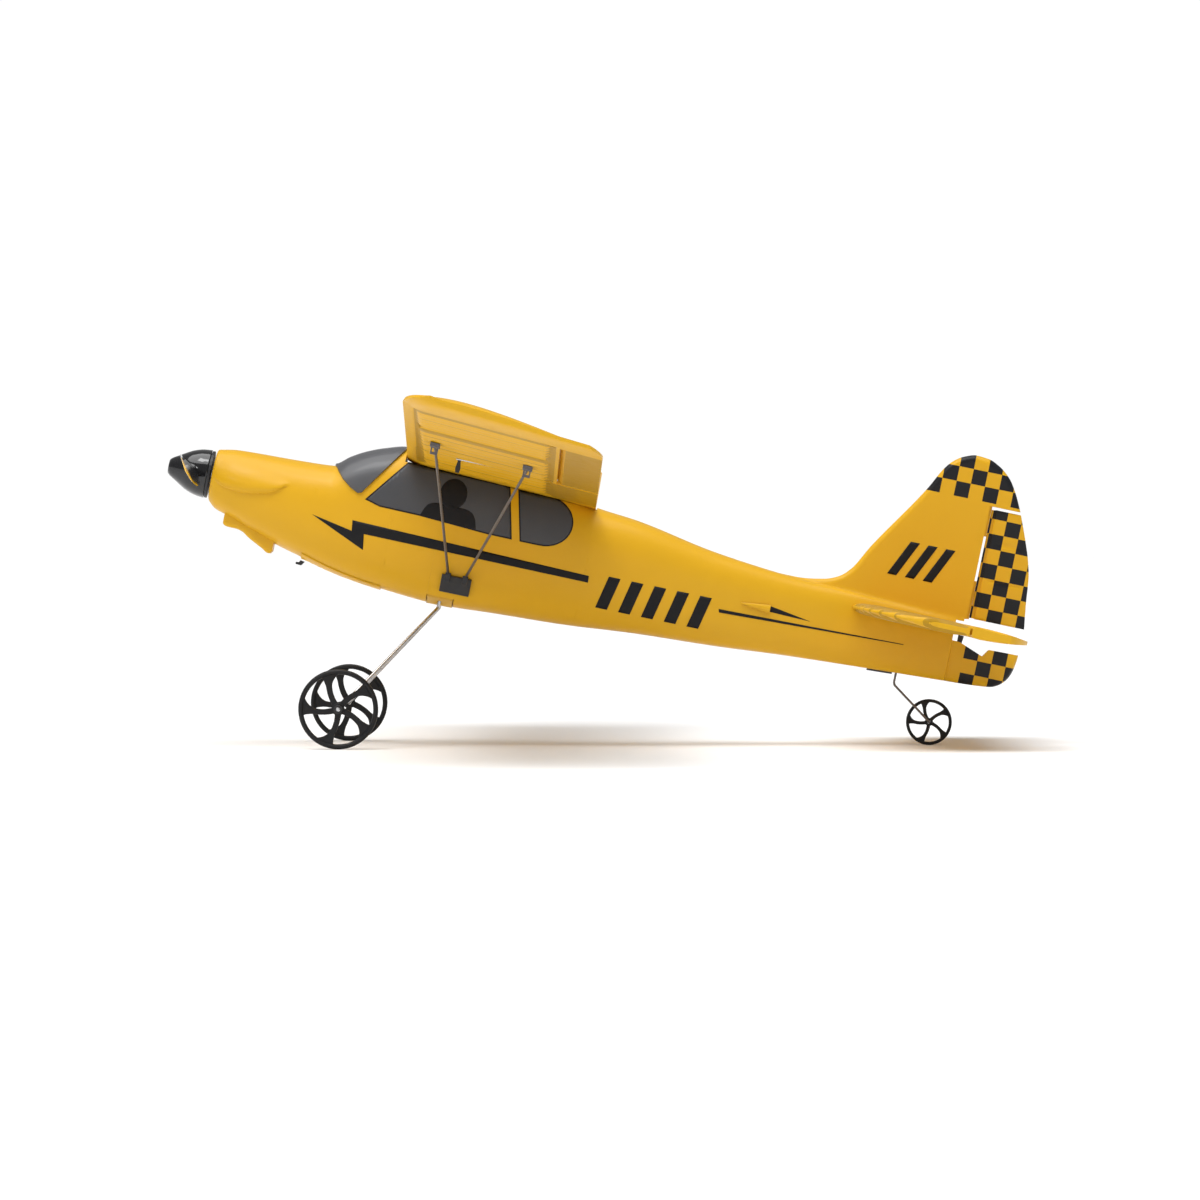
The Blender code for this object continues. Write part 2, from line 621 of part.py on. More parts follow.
def elevator_rear(y):
    over = max(0.0, (abs(y) - 80.0) / 26.5)
    return ELEVATOR_END_X - 14.0 * (1 - math.sqrt(1 - over ** 2))


def stabiliser():
    half = [0, 30, 63, 75, 85, 93, 99, 103, STAB_HALF_SPAN]
    rings = []
    for y in [-value for value in reversed(half[1:])] + half:
        front, back = stab_front(y), ELEVATOR_HINGE_X - 0.6
        thick = STAB_HALF_THICKNESS * (1 - 0.2 * max(0.0, (abs(y) - 85) / 20) ** 2)
        profile = [(0, 0.12), (0.03, 0.5), (0.12, 0.85), (0.3, 1.0), (0.8, 0.95), (1, 0.8)]
        upper = [(front + (back - front) * part, y, STAB_Z + thick * share) for part, share in profile]
        lower = [(front + (back - front) * part, y, STAB_Z - thick * share) for part, share in profile]
        rings.append(upper + lower[::-1])
    add_object("stabiliser", loft_shape(rings), FOAM)


def elevator():
    """Both elevator halves joined by a bar behind the stabiliser, cut away to clear the rudder."""
    half = [0, 2.4, 5, 9, 13.5, 40, 80, 92, 99, 103, STAB_HALF_SPAN]
    rings = []
    for y in [-value for value in reversed(half[1:])] + half:
        front = ELEVATOR_HINGE_X + 0.5
        splay = 364.2 + max(0.0, abs(y) - 2.4) / math.tan(math.radians(RUDDER_SWING + 2.5))
        back = min(elevator_rear(y), splay)
        shares = []
        for part in (0.0, 0.12, 0.6, 1.0):
            x = front + (back - front) * part
            shares.append((x, 2.6 - 1.8 * ((x - front) / (ELEVATOR_END_X - front)) ** 2))
        upper = [(shares[0][0], y, STAB_Z + 1.2)] + [(x, y, STAB_Z + t) for x, t in shares[1:]]
        lower = [(shares[0][0], y, STAB_Z - 1.2)] + [(x, y, STAB_Z - t) for x, t in shares[1:]]
        rings.append(upper + lower[::-1])
    pivot = (ELEVATOR_HINGE_X, 0, STAB_Z)
    add_object("elevator", loft_shape(rings), FOAM, pivot)
    outline = [(361.2, -1.6), (364.0, -1.6), (363.2, -8.0), (361.4, -8.0)]
    add_object("elevator_horn", plate_shape(outline, -0.4, 0.4), BLACK_PLASTIC, pivot)


def rudder():
    """Rudder with thin hinge tongues at its front edge and a horn on its right side."""
    outline = [(366.4, RUDDER_TOP_Z), (378.6, RUDDER_TOP_Z), (382.6, 49.9), (386.5, 38.9), (388.3, 31.4),
               (389.5, 19.8), (391.2, RUDDER_BOTTOM_Z), (367.1, RUDDER_BOTTOM_Z)]
    pivot = (RUDDER_HINGE_X, 0, RUDDER_BOTTOM_Z)
    blade = add_object("rudder", plate_shape(outline, -1.9, 1.9), FOAM, pivot)
    tongues = []
    for place, low, high in (("lower", 9, 25), ("upper", 47, 58)):
        tongue = box_shape((RUDDER_HINGE_X + 0.35, -0.5, low), (368, 0.5, high))
        tongues.append(hide_tool(add_object(place + "_rudder_tongue", tongue, FOAM, pivot)))
    combine(blade, tongues, "UNION")
    horn = [(RUDDER_HINGE_X - 1, 9.5), (RUDDER_HINGE_X + 1.5, 9.5), (375.5, 2.2), (368.5, 2.2)]
    shape = loft_shape([[(x, y, z) for x, y in horn] for z in (12.6, 13.8)])
    add_object("rudder_horn", shape, BLACK_PLASTIC, pivot)


def pushrods():
    """Wires from the fuselage servos to the elevator and rudder horns."""
    add_object("elevator_pushrod",
               wire_shape([(152, -4, -7), (200, -4, -9), (320, -1.1, -7.6), (361.6, -1.1, -7.0)], 0.4, 6), STEEL)
    add_object("rudder_pushrod",
               wire_shape([(152, 4, -7), (240, 4.6, -1), (262, 5.6, 4.8), (271.6, 7.2, 6.9), (288, 10.6, 8.6),
                           (364.5, 8.2, 14.6)], 0.4, 6), STEEL)


def pushrod_fairing(word, side, z):
    """Teardrop guide moulded on the fuselage side where a pushrod leaves."""
    start_x, end_x = 257.0, 271.0

    def layer(lift):
        def surface(u, v):
            x = start_x + (end_x - start_x) * u
            height = z + (v - 0.5) * (0.8 + 3.2 * u)
            proud = lift * (0.35 + 0.65 * u) * (0.6 + 1.6 * v * (1 - v))
            return x, side * (side_y(x, height) + GAP + proud), height
        return surface

    add_object(word + "_pushrod_fairing", sheet_shape(4, 4, layer(0.0), layer(1.9)), FOAM)


# ---------------------------------------------------------------- wheels
def wheel(name, radius, rim, hub, bore, width, centre, phase):
    """Five-spoke moulded wheel: spokes sweep round and widen into webs at the rim."""
    sectors, columns = 5, 8
    radii = [bore, hub, hub + 0.30 * (radius - rim - hub), hub + 0.68 * (radius - rim - hub), radius - rim, radius]
    spoke_half = [0, 0.55 * hub, 0.045 * radius, 0.06 * radius, 0.17 * radius, 0]
    sweep = [0, 0, -0.10, -0.28, -0.38, -0.38]
    total = sectors * columns
    shape = bmesh.new()

    def turn(ring, column):
        sector, local = divmod(column, columns)
        start = 2 * math.pi * sector / sectors + sweep[ring] + phase
        sector_width = 2 * math.pi / sectors
        if ring in (0, len(radii) - 1):
            half = sector_width / columns
        else:
            half = math.asin(min(0.9, spoke_half[ring] / radii[ring]))
        if local <= 2:
            return start + half * (local - 1)
        return start + half + (sector_width - 2 * half) * (local - 2) / (columns - 2)

    points = {}
    for ring, reach in enumerate(radii):
        for column in range(total):
            angle = turn(ring, column)
            for face in (-1, 1):
                x = centre[0] + reach * math.cos(angle)
                z = centre[2] + reach * math.sin(angle)
                points[ring, column, face] = shape.verts.new((x, centre[1] + face * width / 2, z))

    def kept(ring, column):
        if ring < 0 or ring >= len(radii) - 1:
            return False
        return ring in (0, len(radii) - 2) or column % columns < 2

    for ring in range(len(radii) - 1):
        for column in range(total):
            if not kept(ring, column):
                continue
            after = (column + 1) % total
            for face in (-1, 1):
                shape.faces.new((points[ring, column, face], points[ring + 1, column, face],
                                 points[ring + 1, after, face], points[ring, after, face]))
            walls = [((ring - 1, column), (ring, column), (ring, after)),
                     ((ring + 1, column), (ring + 1, column), (ring + 1, after)),
                     ((ring, (column - 1) % total), (ring, column), (ring + 1, column)),
                     ((ring, after), (ring, after), (ring + 1, after))]
            for neighbour, first, second in walls:
                if not kept(*neighbour):
                    shape.faces.new((points[(*first, -1)], points[(*second, -1)],
                                     points[(*second, 1)], points[(*first, 1)]))
    for vertex in [v for v in shape.verts if not v.link_faces]:
        shape.verts.remove(vertex)
    return add_object(name, shape, BLACK_PLASTIC, centre)


def main_gear(word, side):
    """Sprung wire leg plugged into the belly block, its end bent into the wheel's axle."""
    half_track = MAIN_TRACK / 2
    points = [(117.5, side * 12, -27.0), (117.5, side * 12, -39.6), (116.5, side * 13.6, -41.2),
              (84.2, side * 55.0, -92.6), (83.0, side * 57.0, MAIN_AXLE_Z),
              (MAIN_AXLE_X, side * (half_track + 5.0), MAIN_AXLE_Z)]
    add_object(word + "_gear_leg", wire_shape(points, 0.8), STEEL)
    wheel(word + "_main_wheel", MAIN_WHEEL_RADIUS, 2.4, 3.4, 1.05, 4.4,
          (MAIN_AXLE_X, side * (half_track + 0.4), MAIN_AXLE_Z), MAIN_WHEEL_PHASE)
    collar = turned_shape([(half_track + 3.0, 1.1), (half_track + 3.0, 2.0), (half_track + 4.6, 2.0),
                           (half_track + 4.6, 1.1)], 16, closed=True)
    for vertex in collar.verts:
        along, y, z = vertex.co
        vertex.co = (MAIN_AXLE_X + y, side * along, MAIN_AXLE_Z + z)
    add_object(word + "_wheel_collar", collar, BLACK_PLASTIC)


def gear_block():
    """Plastic block in the belly that holds both gear wires; its flat underside is a mounting face."""
    outline = [(-15.6, -26.0), (15.6, -26.0), (15.6, -35.0), (8.5, -38.3), (-8.5, -38.3), (-15.6, -35.0)]
    rings = [[(x, y, z) for y, z in outline] for x in (111.4, 123.6)]
    block = add_object("gear_block", loft_shape(rings), YELLOW_PLASTIC)
    holes = []
    for word, side in (("left", -1), ("right", 1)):
        hole = cylinder_shape((117.5, side * 12, -42), (117.5, side * 12, -26.7), 1.15, 12)
        holes.append(hide_tool(add_object(word + "_wire_hole", hole, YELLOW_PLASTIC)))
    combine(block, holes)


def tail_gear():
    """Steering wire in its bushing with the small tail wheel on a bent axle."""
    pivot = (336, 0, -26)
    points = [(336, 0, -12.5), (336, 0, -30.0), (336.6, -0.2, -31.2), (352.6, -3.3, -42.4),
              (355.4, -3.3, -44.4), (356.1, -2.9, TAIL_AXLE_Z), (356.1, 2.6, TAIL_AXLE_Z)]
    add_object("tail_wheel_wire", wire_shape(points, 0.55, 8), STEEL, pivot)
    wheel("tail_wheel", TAIL_WHEEL_RADIUS, 1.55, 2.3, 0.75, 2.6, (TAIL_AXLE_X, 0.3, TAIL_AXLE_Z), TAIL_WHEEL_PHASE)
    bush = turned_shape([(-25.2, 0.75), (-25.2, 1.7), (-13.6, 1.7), (-13.6, 0.75)], 14, closed=True)
    for vertex in bush.verts:
        along, y, z = vertex.co
        vertex.co = (336 + z, y, along)
    add_object("tail_wheel_bush", bush, WHITE_NYLON)


# ---------------------------------------------------------------- power train
def toothed_wheel(name, teeth, bore, centre_z, finish, turn=0.0):
    """Straight spur gear with slim trapezoid teeth, which leaves running backlash."""
    pitch = GEAR_MODULE * teeth / 2
    shape = bmesh.new()
    offsets = [(-0.36, pitch - 1.2 * GEAR_MODULE), (-0.17, pitch + 0.9 * GEAR_MODULE),
               (0.17, pitch + 0.9 * GEAR_MODULE), (0.36, pitch - 1.2 * GEAR_MODULE)]
    rings = []
    for x in GEAR_X:
        outer, inner = [], []
        for tooth in range(teeth):
            for offset, reach in offsets:
                share = offset * (0.5 if reach > pitch else 0.78)
                angle = 2 * math.pi * (tooth + share) / teeth + turn
                outer.append(shape.verts.new((x, reach * math.sin(angle), centre_z + reach * math.cos(angle))))
                inner.append(shape.verts.new((x, bore * math.sin(angle), centre_z + bore * math.cos(angle))))
        rings.append((outer, inner))
    count = len(rings[0][0])
    for index in range(count):
        after = (index + 1) % count
        for outer, inner in rings:
            shape.faces.new((outer[index], outer[after], inner[after], inner[index]))
        for layer in (0, 1):
            shape.faces.new((rings[0][layer][index], rings[0][layer][after],
                             rings[1][layer][after], rings[1][layer][index]))
    return add_object(name, shape, finish, (0, 0, centre_z))


MOTOR_Z = -GEAR_MODULE * (SPUR_TEETH + PINION_TEETH) / 2


def gearbox():
    """C-shaped frame that carries the shaft in two bearings and the motor behind its rear plate."""
    outline = [(4.0, 9.9), (4.0, -4.4), (5.6, -4.4), (5.6, 8.8), (10.6, 8.8), (10.6, -14.0), (12.4, -14.0),
               (12.4, 9.9)]
    frame = add_object("gearbox_frame", plate_shape(outline, -3.4, 3.4), GREY_PLASTIC)
    holes = [cylinder_shape((0, 0, 0), (20, 0, 0), 2.8), cylinder_shape((9, 0, MOTOR_Z), (20, 0, MOTOR_Z), 1.4)]
    combine(frame, [hide_tool(add_object(f"gearbox_hole_{index}", hole, GREY_PLASTIC))
                    for index, hole in enumerate(holes)])
    for word, x in (("front", 4.1), ("rear", 10.7)):
        bearing = turned_shape([(x, 1.2), (x, 2.45), (x + 1.4, 2.45), (x + 1.4, 1.2)], 20, closed=True)
        add_object(word + "_shaft_bearing", bearing, STEEL)
    profile = [(12.8, 0), (12.8, 4.0), (13.2, 4.25), (32.6, 4.25), (33.2, 3.8), (33.2, 0)]
    motor = turned_shape(profile, 20, (0, MOTOR_Z))
    motor_object = add_object("motor", motor, STEEL)
    bore = cylinder_shape((12, 0, MOTOR_Z), (15.4, 0, MOTOR_Z), 0.9, 12)
    combine(motor_object, [hide_tool(add_object("motor_bore", bore, STEEL))])


def spinning_parts():
    """Propeller, spinner, backplate, shaft and spur gear turn as one on the thrust line."""
    add_object("propeller_shaft", turned_shape([(-13.5, 0), (-13.5, SHAFT_RADIUS), (14.0, SHAFT_RADIUS),
                                                (14.0, 0)], 16), STEEL)
    toothed_wheel("spur_gear", SPUR_TEETH, 1.3, 0.0, WHITE_NYLON)
    toothed_wheel("motor_pinion", PINION_TEETH, 0.75, MOTOR_Z, STEEL, math.pi / PINION_TEETH)
    add_object("motor_shaft", turned_shape([(6.2, 0), (6.2, 0.45), (14.8, 0.45), (14.8, 0)], 10,
                                           (0, MOTOR_Z)), STEEL)
    backplate = [(-2.2, 1.3), (-2.2, 11.2), (-1.0, 11.2), (-1.0, 1.3)]
    add_object("spinner_backplate", turned_shape(backplate, 32, closed=True), BLACK_PLASTIC)
    outer = [(-2.5, 11.55), (-6.5, 11.1), (-11.0, 9.7), (-15.0, 7.5), (-17.6, 5.6), (-21.5, 3.5), (-21.5, 0)]
    inner = [(-19.6, 0), (-19.6, 2.2), (-17.0, 4.4), (-14.5, 6.3), (-10.6, 8.5), (-6.3, 9.9), (-2.5, 10.4)]
    spinner = add_object("spinner", turned_shape(outer + inner, 32, closed=True), GLOSS_BLACK)
    slot = add_object("blade_slot", box_shape((PROP_X - 4.4, -20, -3.7), (PROP_X + 4.4, 20, 3.7)), GLOSS_BLACK)
    combine(spinner, [hide_tool(slot)])


def propeller():
    """Two twisted blades either side of a bored hub, level at rest."""
    rings = []
    for y in (-65, -64, -61, -55, -45, -35, -25, -16, -10, -6.5, 0, 6.5, 10, 16, 25, 35, 45, 55, 61, 64, 65):
        reach = abs(y) / PROP_RADIUS
        chord = smooth_value([(0, 5.0), (0.1, 5.0), (0.25, 10.0), (0.45, 15.0), (0.65, 15.6), (0.85, 12.5),
                              (0.94, 8.6), (0.985, 4.2), (1, 1.4)], reach)
        thick = smooth_value([(0, 5.0), (0.1, 4.4), (0.25, 2.0), (0.6, 1.3), (1, 0.7)], reach)
        pitch = math.radians(smooth_value([(0, 58), (0.2, 52), (0.5, 36), (1, 20)], reach)) * (1 if y < 0 else -1)
        ring = []
        for step in range(12):
            angle = 2 * math.pi * step / 12
            along, out = chord / 2 * math.cos(angle), thick / 2 * math.sin(angle)
            ring.append((PROP_X + along * math.sin(pitch) + out * math.cos(pitch), y,
                         -along * math.cos(pitch) + out * math.sin(pitch)))
        rings.append(ring)
    blades = add_object("propeller", loft_shape(rings), BLACK_PLASTIC)
    bore = add_object("propeller_bore", cylinder_shape((-20, 0, 0), (0, 0, 0), SHAFT_RADIUS + 0.25), BLACK_PLASTIC)
    combine(blades, [hide_tool(bore)])


# ---------------------------------------------------------------- inside the cabin
def cabin_equipment():
    add_object("battery", box_shape((52, -8.5, -26.0), (86, 8.5, -18.0)), CELL_SILVER)
    add_object("flight_controller", box_shape((126, -11, -18.5), (160, 11, -16.5)), BOARD_GREEN)
    for word, side in (("elevator", -1), ("rudder", 1)):
        ends = sorted((side * 1.0, side * 8.5))
        add_object(word + "_servo", box_shape((128, ends[0], -16.1), (147, ends[1], -4.0)), BLACK_PLASTIC)


# ---------------------------------------------------------------- assembly
for half_name, half_side in (("fuselage_left_half", -1), ("fuselage_right_half", 1)):
    fuselage_half(half_name, half_side)
windshield()
chin_scoop()
battery_hatch()
wing()
for side_name, side_sign in (("left", -1), ("right", 1)):
    aileron(side_name, side_sign)
    aileron_servo(side_name, side_sign)
    strut_set(side_name, side_sign)
    main_gear(side_name, side_sign)
stabiliser()
elevator()
rudder()
pushrods()
pushrod_fairing("left", -1, -7.9)
pushrod_fairing("right", 1, 4.4)
gear_block()
tail_gear()
gearbox()
spinning_parts()
propeller()
cabin_equipment()
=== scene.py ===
"""Finished looks of the foam aeroplane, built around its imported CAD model.

Shapes are worked out in the aeroplane's own frame, in millimetres: x aft from the cowl's front face, y to
the right wing, z up, thrust line at z = 0. BODY places that frame in the world. It comes from the
propeller's joint, so every piece lands where the CAD model says.
"""

import json
import math

import bmesh
import bpy
from mathutils import Matrix, Vector


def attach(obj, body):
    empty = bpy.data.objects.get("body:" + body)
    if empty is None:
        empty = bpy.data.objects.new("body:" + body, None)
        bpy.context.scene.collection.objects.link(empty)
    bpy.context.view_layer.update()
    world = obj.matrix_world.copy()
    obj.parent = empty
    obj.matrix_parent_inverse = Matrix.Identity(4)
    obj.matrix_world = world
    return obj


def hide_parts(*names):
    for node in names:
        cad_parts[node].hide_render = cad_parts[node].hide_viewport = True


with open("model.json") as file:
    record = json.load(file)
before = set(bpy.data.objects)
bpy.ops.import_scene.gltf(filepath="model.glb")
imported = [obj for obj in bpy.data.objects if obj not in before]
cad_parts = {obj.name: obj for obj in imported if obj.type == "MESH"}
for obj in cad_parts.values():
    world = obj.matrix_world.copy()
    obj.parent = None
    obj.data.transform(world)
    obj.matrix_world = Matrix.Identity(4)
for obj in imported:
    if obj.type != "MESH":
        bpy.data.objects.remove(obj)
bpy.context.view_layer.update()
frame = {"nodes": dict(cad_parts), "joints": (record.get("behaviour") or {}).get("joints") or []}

# ---------------------------------------------------------------- the aeroplane's own frame
MM = 0.001
PROP_X = -9.0
joint_of = {joint["name"]: joint for joint in frame["joints"]}
thrust_axis = Vector(joint_of["propeller_spin"]["axis"]).normalized()
hub_place = Vector(joint_of["propeller_spin"]["pos_m"])
GROUND_ANGLE = math.atan2(-thrust_axis.z, thrust_axis.x)
BODY = Matrix.Translation(hub_place - thrust_axis * PROP_X * MM) @ Matrix.Rotation(GROUND_ANGLE, 4, "Y")

# ---------------------------------------------------------------- driving dimensions, millimetres
SPAN = 616.0
FOAM_WALL = 3.0
PARTING = 0.15
SEAT_GAP = 0.3
TOP_LINE = [(0, 12.4), (10, 14.1), (40, 15.2), (55.7, 16.2), (62, 20.8), (68.7, 24.7), (77.2, 28.2),
            (88, 31.0), (120, 31.5), (160, 29.0), (181, 22.3), (201, 20.2), (239, 13.3), (260, 10.8),
            (277, 9.3), (300, 8.2), (330, 6.6), (360, 5.0)]
BELLY_LINE = [(0, -11.7), (4, -15.2), (9, -16.9), (34, -25.5), (50, -29.6), (69, -33.8), (88, -36.2),
              (117, -38.1), (144, -36.8), (175, -35.4), (212, -32.4), (248, -30.6), (285, -27.9),
              (319, -26.1), (360, -24.2)]
HALF_WIDTH = [(0, 11.8), (10, 15.0), (30, 18.5), (60, 22.0), (90, 24.0), (150, 24.0), (200, 20.0),
              (250, 14.5), (300, 9.0), (340, 5.0), (360, 3.4)]
SQUARENESS = [(0, 2.1), (40, 2.4), (80, 3.0), (160, 3.0), (220, 3.2), (300, 3.2), (360, 2.6)]
FIN_EDGE = [(262, 9.8), (280, 9.6), (293.4, 11.4), (300, 14.0), (305, 18.6), (312, 31), (332.8, 63.6),
            (338.4, 74.2), (342.4, 78.9), (346.5, 81.6), (352.3, 83.4), (358.3, 82.9), (363.8, 80.6),
            (369.7, 75.9), (373.9, 69.8), (378.2, 61.2)]
HEEL_EDGE = [(358, -24.3), (368.2, -23.9), (380.7, -22.8), (384.4, -21.3), (388.5, -17), (390.4, -11.5),
             (391.2, -5.4)]
FIN_HALF = 2.5
FIN_CAP_Z = 61.2
NOTCH_X = 358.6
NOTCH_END_X = 362.4
FIN_REAR_X = 363.3

WING_LEADING_X = (88.87, 0.00906)
WING_LEADING_Z = (23.70, 0.07585)
WING_TRAILING_X = (180.80, -0.00377)
WING_TRAILING_Z = (20.33, 0.07094)
WING_THICKNESS = 9.4
WING_TIP_RADIUS = 20.0
WING_TIP_RISE = 3.6
AILERON_FROM = 100.0
AILERON_TO = 285.0
AILERON_HINGE_X = 161.8
AILERON_HINGE_RISE = 3.3
AILERON_NOSE = 0.7
SADDLE = (88.4, 181.4)
BATTERY_MOUTH = (50.0, 87.0, 9.5)
GEAR_SLOT = (111.0, 124.0, 16.0)

STAB_HALF_SPAN = 105.0
STAB_NOSE_X = 309.0
STAB_Z = 1.2
STAB_HALF_THICKNESS = 2.9
ELEVATOR_HINGE_X = 360.2
ELEVATOR_END_X = 388.0
RUDDER_HINGE_X = 365.0
RUDDER_SWING = 25.0
TAIL_RIB_PITCH = 7.0
PROP_RADIUS = 65.0


# ---------------------------------------------------------------- curves
def smooth_value(points, x):
    """Height at x of a smooth curve through the points that never overshoots them."""
    if x <= points[0][0]:
        return points[0][1]
    if x >= points[-1][0]:
        return points[-1][1]
    for index, (start, end) in enumerate(zip(points, points[1:])):
        if x <= end[0]:
            break

    def slope(at):
        return (points[at + 1][1] - points[at][1]) / (points[at + 1][0] - points[at][0])

    def tangent(at):
        if at == 0:
            return slope(0)
        if at == len(points) - 1:
            return slope(at - 1)
        before, after = slope(at - 1), slope(at)
        return 0.0 if before * after <= 0 else 2 * before * after / (before + after)

    width = end[0] - start[0]
    t = (x - start[0]) / width
    square, cube = t * t, t * t * t
    return ((2 * cube - 3 * square + 1) * start[1] + (cube - 2 * square + t) * width * tangent(index)
            + (3 * square - 2 * cube) * end[1] + (cube - square) * width * tangent(index + 1))


def ease(low, high, value):
    """0 below low, 1 above high, with a smooth change between."""
    t = max(0.0, min(1.0, (value - low) / (high - low)))
    return t * t * (3 - 2 * t)


def spread(start, end, step):
    count = max(1, round((end - start) / step))
    return [start + (end - start) * index / count for index in range(count + 1)]


def round_over(distance, radius):
    """Share of the full thickness at a distance inside a rounded edge."""
    share = max(0.0, min(1.0, distance / radius))
    return math.sqrt(1 - (1 - share) ** 2)


def fuselage_section(x, inset=0.0):
    """Middle height, half height, half width and squareness of the fuselage at x."""
    top = smooth_value(TOP_LINE, x) - inset
    belly = smooth_value(BELLY_LINE, x) + inset
    half_width = smooth_value(HALF_WIDTH, x) - inset
    return (top + belly) / 2, (top - belly) / 2, half_width, smooth_value(SQUARENESS, x)


def section_y(section, z):
    """Half width of a fuselage section at height z, negative outside it."""
    middle, height, width, power = section
    reach = abs((z - middle) / height)
    if reach >= 1:
        return -(reach - 1) * height * 1.5
    return width * (1 - reach ** power) ** (1 / power)


def cheek_bulge(x, z):
    """Moulded cheek on the cowl side, soft above and with a crisp lower edge."""
    if not 1.5 < x < 37.2:
        return 0.0
    upper = smooth_value([(1.5, 5.5), (7.1, 9.6), (16.6, 10.1), (27, 7.6), (37.2, 3.4)], x)
    lower = smooth_value([(1.5, -1.0), (5, -3.8), (15, -5.1), (29, -2.6), (37.2, 3.2)], x)
    if not lower < z < upper:
        return 0.0
    part = (z - lower) / (upper - lower)
    along = (x - 1.5) / 35.7
    return 4.6 * math.sqrt(4 * along * (1 - along)) * (part ** 0.34) * (1 - part) ** 1.2


def skin_y(x, z, section=None):
    """Half width of the moulded fuselage with its fin and lower tail blended in."""
    base = section_y(section or fuselage_section(x), z) + cheek_bulge(x, z)
    if x < 262:
        return max(0.0, base)
    top = max(smooth_value(FIN_EDGE, x), smooth_value(TOP_LINE, x))
    steep = (smooth_value(FIN_EDGE, x + 0.5) - smooth_value(FIN_EDGE, x - 0.5))
    inside = (top - z) / math.hypot(1, steep)
    fin = FIN_HALF * ease(262, 290, x) * round_over(inside, 2.6)
    if x > NOTCH_X and z < 0:
        rise = smooth_value(HEEL_EDGE, x + 0.5) - smooth_value(HEEL_EDGE, x - 0.5)
        depth = min((z - smooth_value(HEEL_EDGE, x)) / math.hypot(1, rise), 391.3 - x)
        return max(base, 2.4) * round_over(depth, 2.4)
    blend_width = 6.0 * ease(275, 300, x)
    if blend_width < 0.01:
        return max(0.0, base, fin)
    near = max(0.0, blend_width - abs(base - fin)) / blend_width
    return max(0.0, max(base, fin) + near * near * blend_width / 4 * round_over(inside, 4.0))


def wing_leading(y):
    return WING_LEADING_X[0] + WING_LEADING_X[1] * abs(y), WING_LEADING_Z[0] + WING_LEADING_Z[1] * abs(y)


def wing_trailing(y):
    return WING_TRAILING_X[0] + WING_TRAILING_X[1] * abs(y), WING_TRAILING_Z[0] + WING_TRAILING_Z[1] * abs(y)


def wing_under(x, y):
    """Height of the wing's flat underside."""
    lead_x, lead_z = wing_leading(y)
    trail_x, trail_z = wing_trailing(y)
    return lead_z + (x - lead_x) / (trail_x - lead_x) * (trail_z - lead_z)


def airfoil_height(part):
    """Thickness of the aerofoil, from 0 to 1, at a part of the chord behind its nose."""
    return 10 * (0.2969 * math.sqrt(max(0.0, part)) - 0.126 * part - 0.3516 * part ** 2
                 + 0.2843 * part ** 3 - 0.0926 * part ** 4)


# ---------------------------------------------------------------- materials
class Shader:
    """Short calls for wiring one material's nodes."""

    def __init__(self, name):
        self.material = bpy.data.materials.new(name)
        self.material.use_nodes = True
        self.tree = self.material.node_tree
        self.surface = self.tree.nodes["Principled BSDF"]
        self.place = self.add("ShaderNodeTexCoord").outputs["Object"]

    def add(self, kind, **settings):
        node = self.tree.nodes.new(kind)
        for key, value in settings.items():
            setattr(node, key, value)
        return node

    def put(self, socket, value):
        if isinstance(value, bpy.types.NodeSocket):
            self.tree.links.new(value, socket)
        else:
            socket.default_value = value

    def fix(self, node, **values):
        """Set constant sockets; an underscore in a name stands for a space."""
        for key, value in values.items():
            node.inputs[key.replace("_", " ")].default_value = value

    def sum(self, operation, first, second=0.0):
        node = self.add("ShaderNodeMath", operation=operation)
        self.put(node.inputs[0], first)
        self.put(node.inputs[1], second)
        return node.outputs[0]

    def noise(self, scale, detail=3.0):
        node = self.add("ShaderNodeTexNoise")
        self.put(node.inputs["Vector"], self.place)
        self.fix(node, Scale=scale, Detail=detail)
        return node.outputs["Fac"]

    def beads(self, scale):
        node = self.add("ShaderNodeTexVoronoi", feature="F1")
        self.put(node.inputs["Vector"], self.place)
        self.fix(node, Scale=scale)
        return node.outputs["Distance"]

    def mix(self, share, first, second):
        node = self.add("ShaderNodeMix", data_type="RGBA")
        self.put(node.inputs["Factor"], share)
        for socket, colour in ((node.inputs["A"], first), (node.inputs["B"], second)):
            self.put(socket, colour if isinstance(colour, bpy.types.NodeSocket) else (*colour, 1.0))
        return node.outputs["Result"]

    def stretch(self, value, low, high):
        node = self.add("ShaderNodeMapRange")
        self.put(node.inputs["Value"], value)
        self.fix(node, To_Min=low, To_Max=high)
        return node.outputs["Result"]

    def bump(self, heights):
        """heights: (height socket, strength, depth in millimetres) laid over one another."""
        normal = None
        for height, strength, depth in heights:
            node = self.add("ShaderNodeBump")
            self.fix(node, Strength=strength, Distance=depth * MM)
            self.put(node.inputs["Height"], height)
            if normal is not None:
                self.put(node.inputs["Normal"], normal)
            normal = node.outputs["Normal"]
        self.put(self.surface.inputs["Normal"], normal)


YELLOW = (0.70, 0.385, 0.010)
YELLOW_DEEP = (0.665, 0.357, 0.008)
INK = (0.009, 0.009, 0.011)
CHECK_RUDDER = (365.5, 13.1, 7.08, 7.08)
CHECK_CAP = (345.3, 62.6, 6.85, 7.08)
CHECK_HEEL = (365.5, -5.0, 6.85, -6.9)


def checker_mask(shader, x, z, grid):
    """1 on the black squares of a grid given as (x origin, z origin, cell length, cell height)."""
    columns = shader.sum("FLOOR", shader.sum("DIVIDE", shader.sum("SUBTRACT", x, grid[0]), grid[2]))
    rows = shader.sum("FLOOR", shader.sum("DIVIDE", shader.sum("SUBTRACT", z, grid[1]), grid[3]))
    parity = shader.sum("FLOORED_MODULO", shader.sum("ADD", columns, rows), 2.0)
    return shader.sum("LESS_THAN", parity, 0.5)


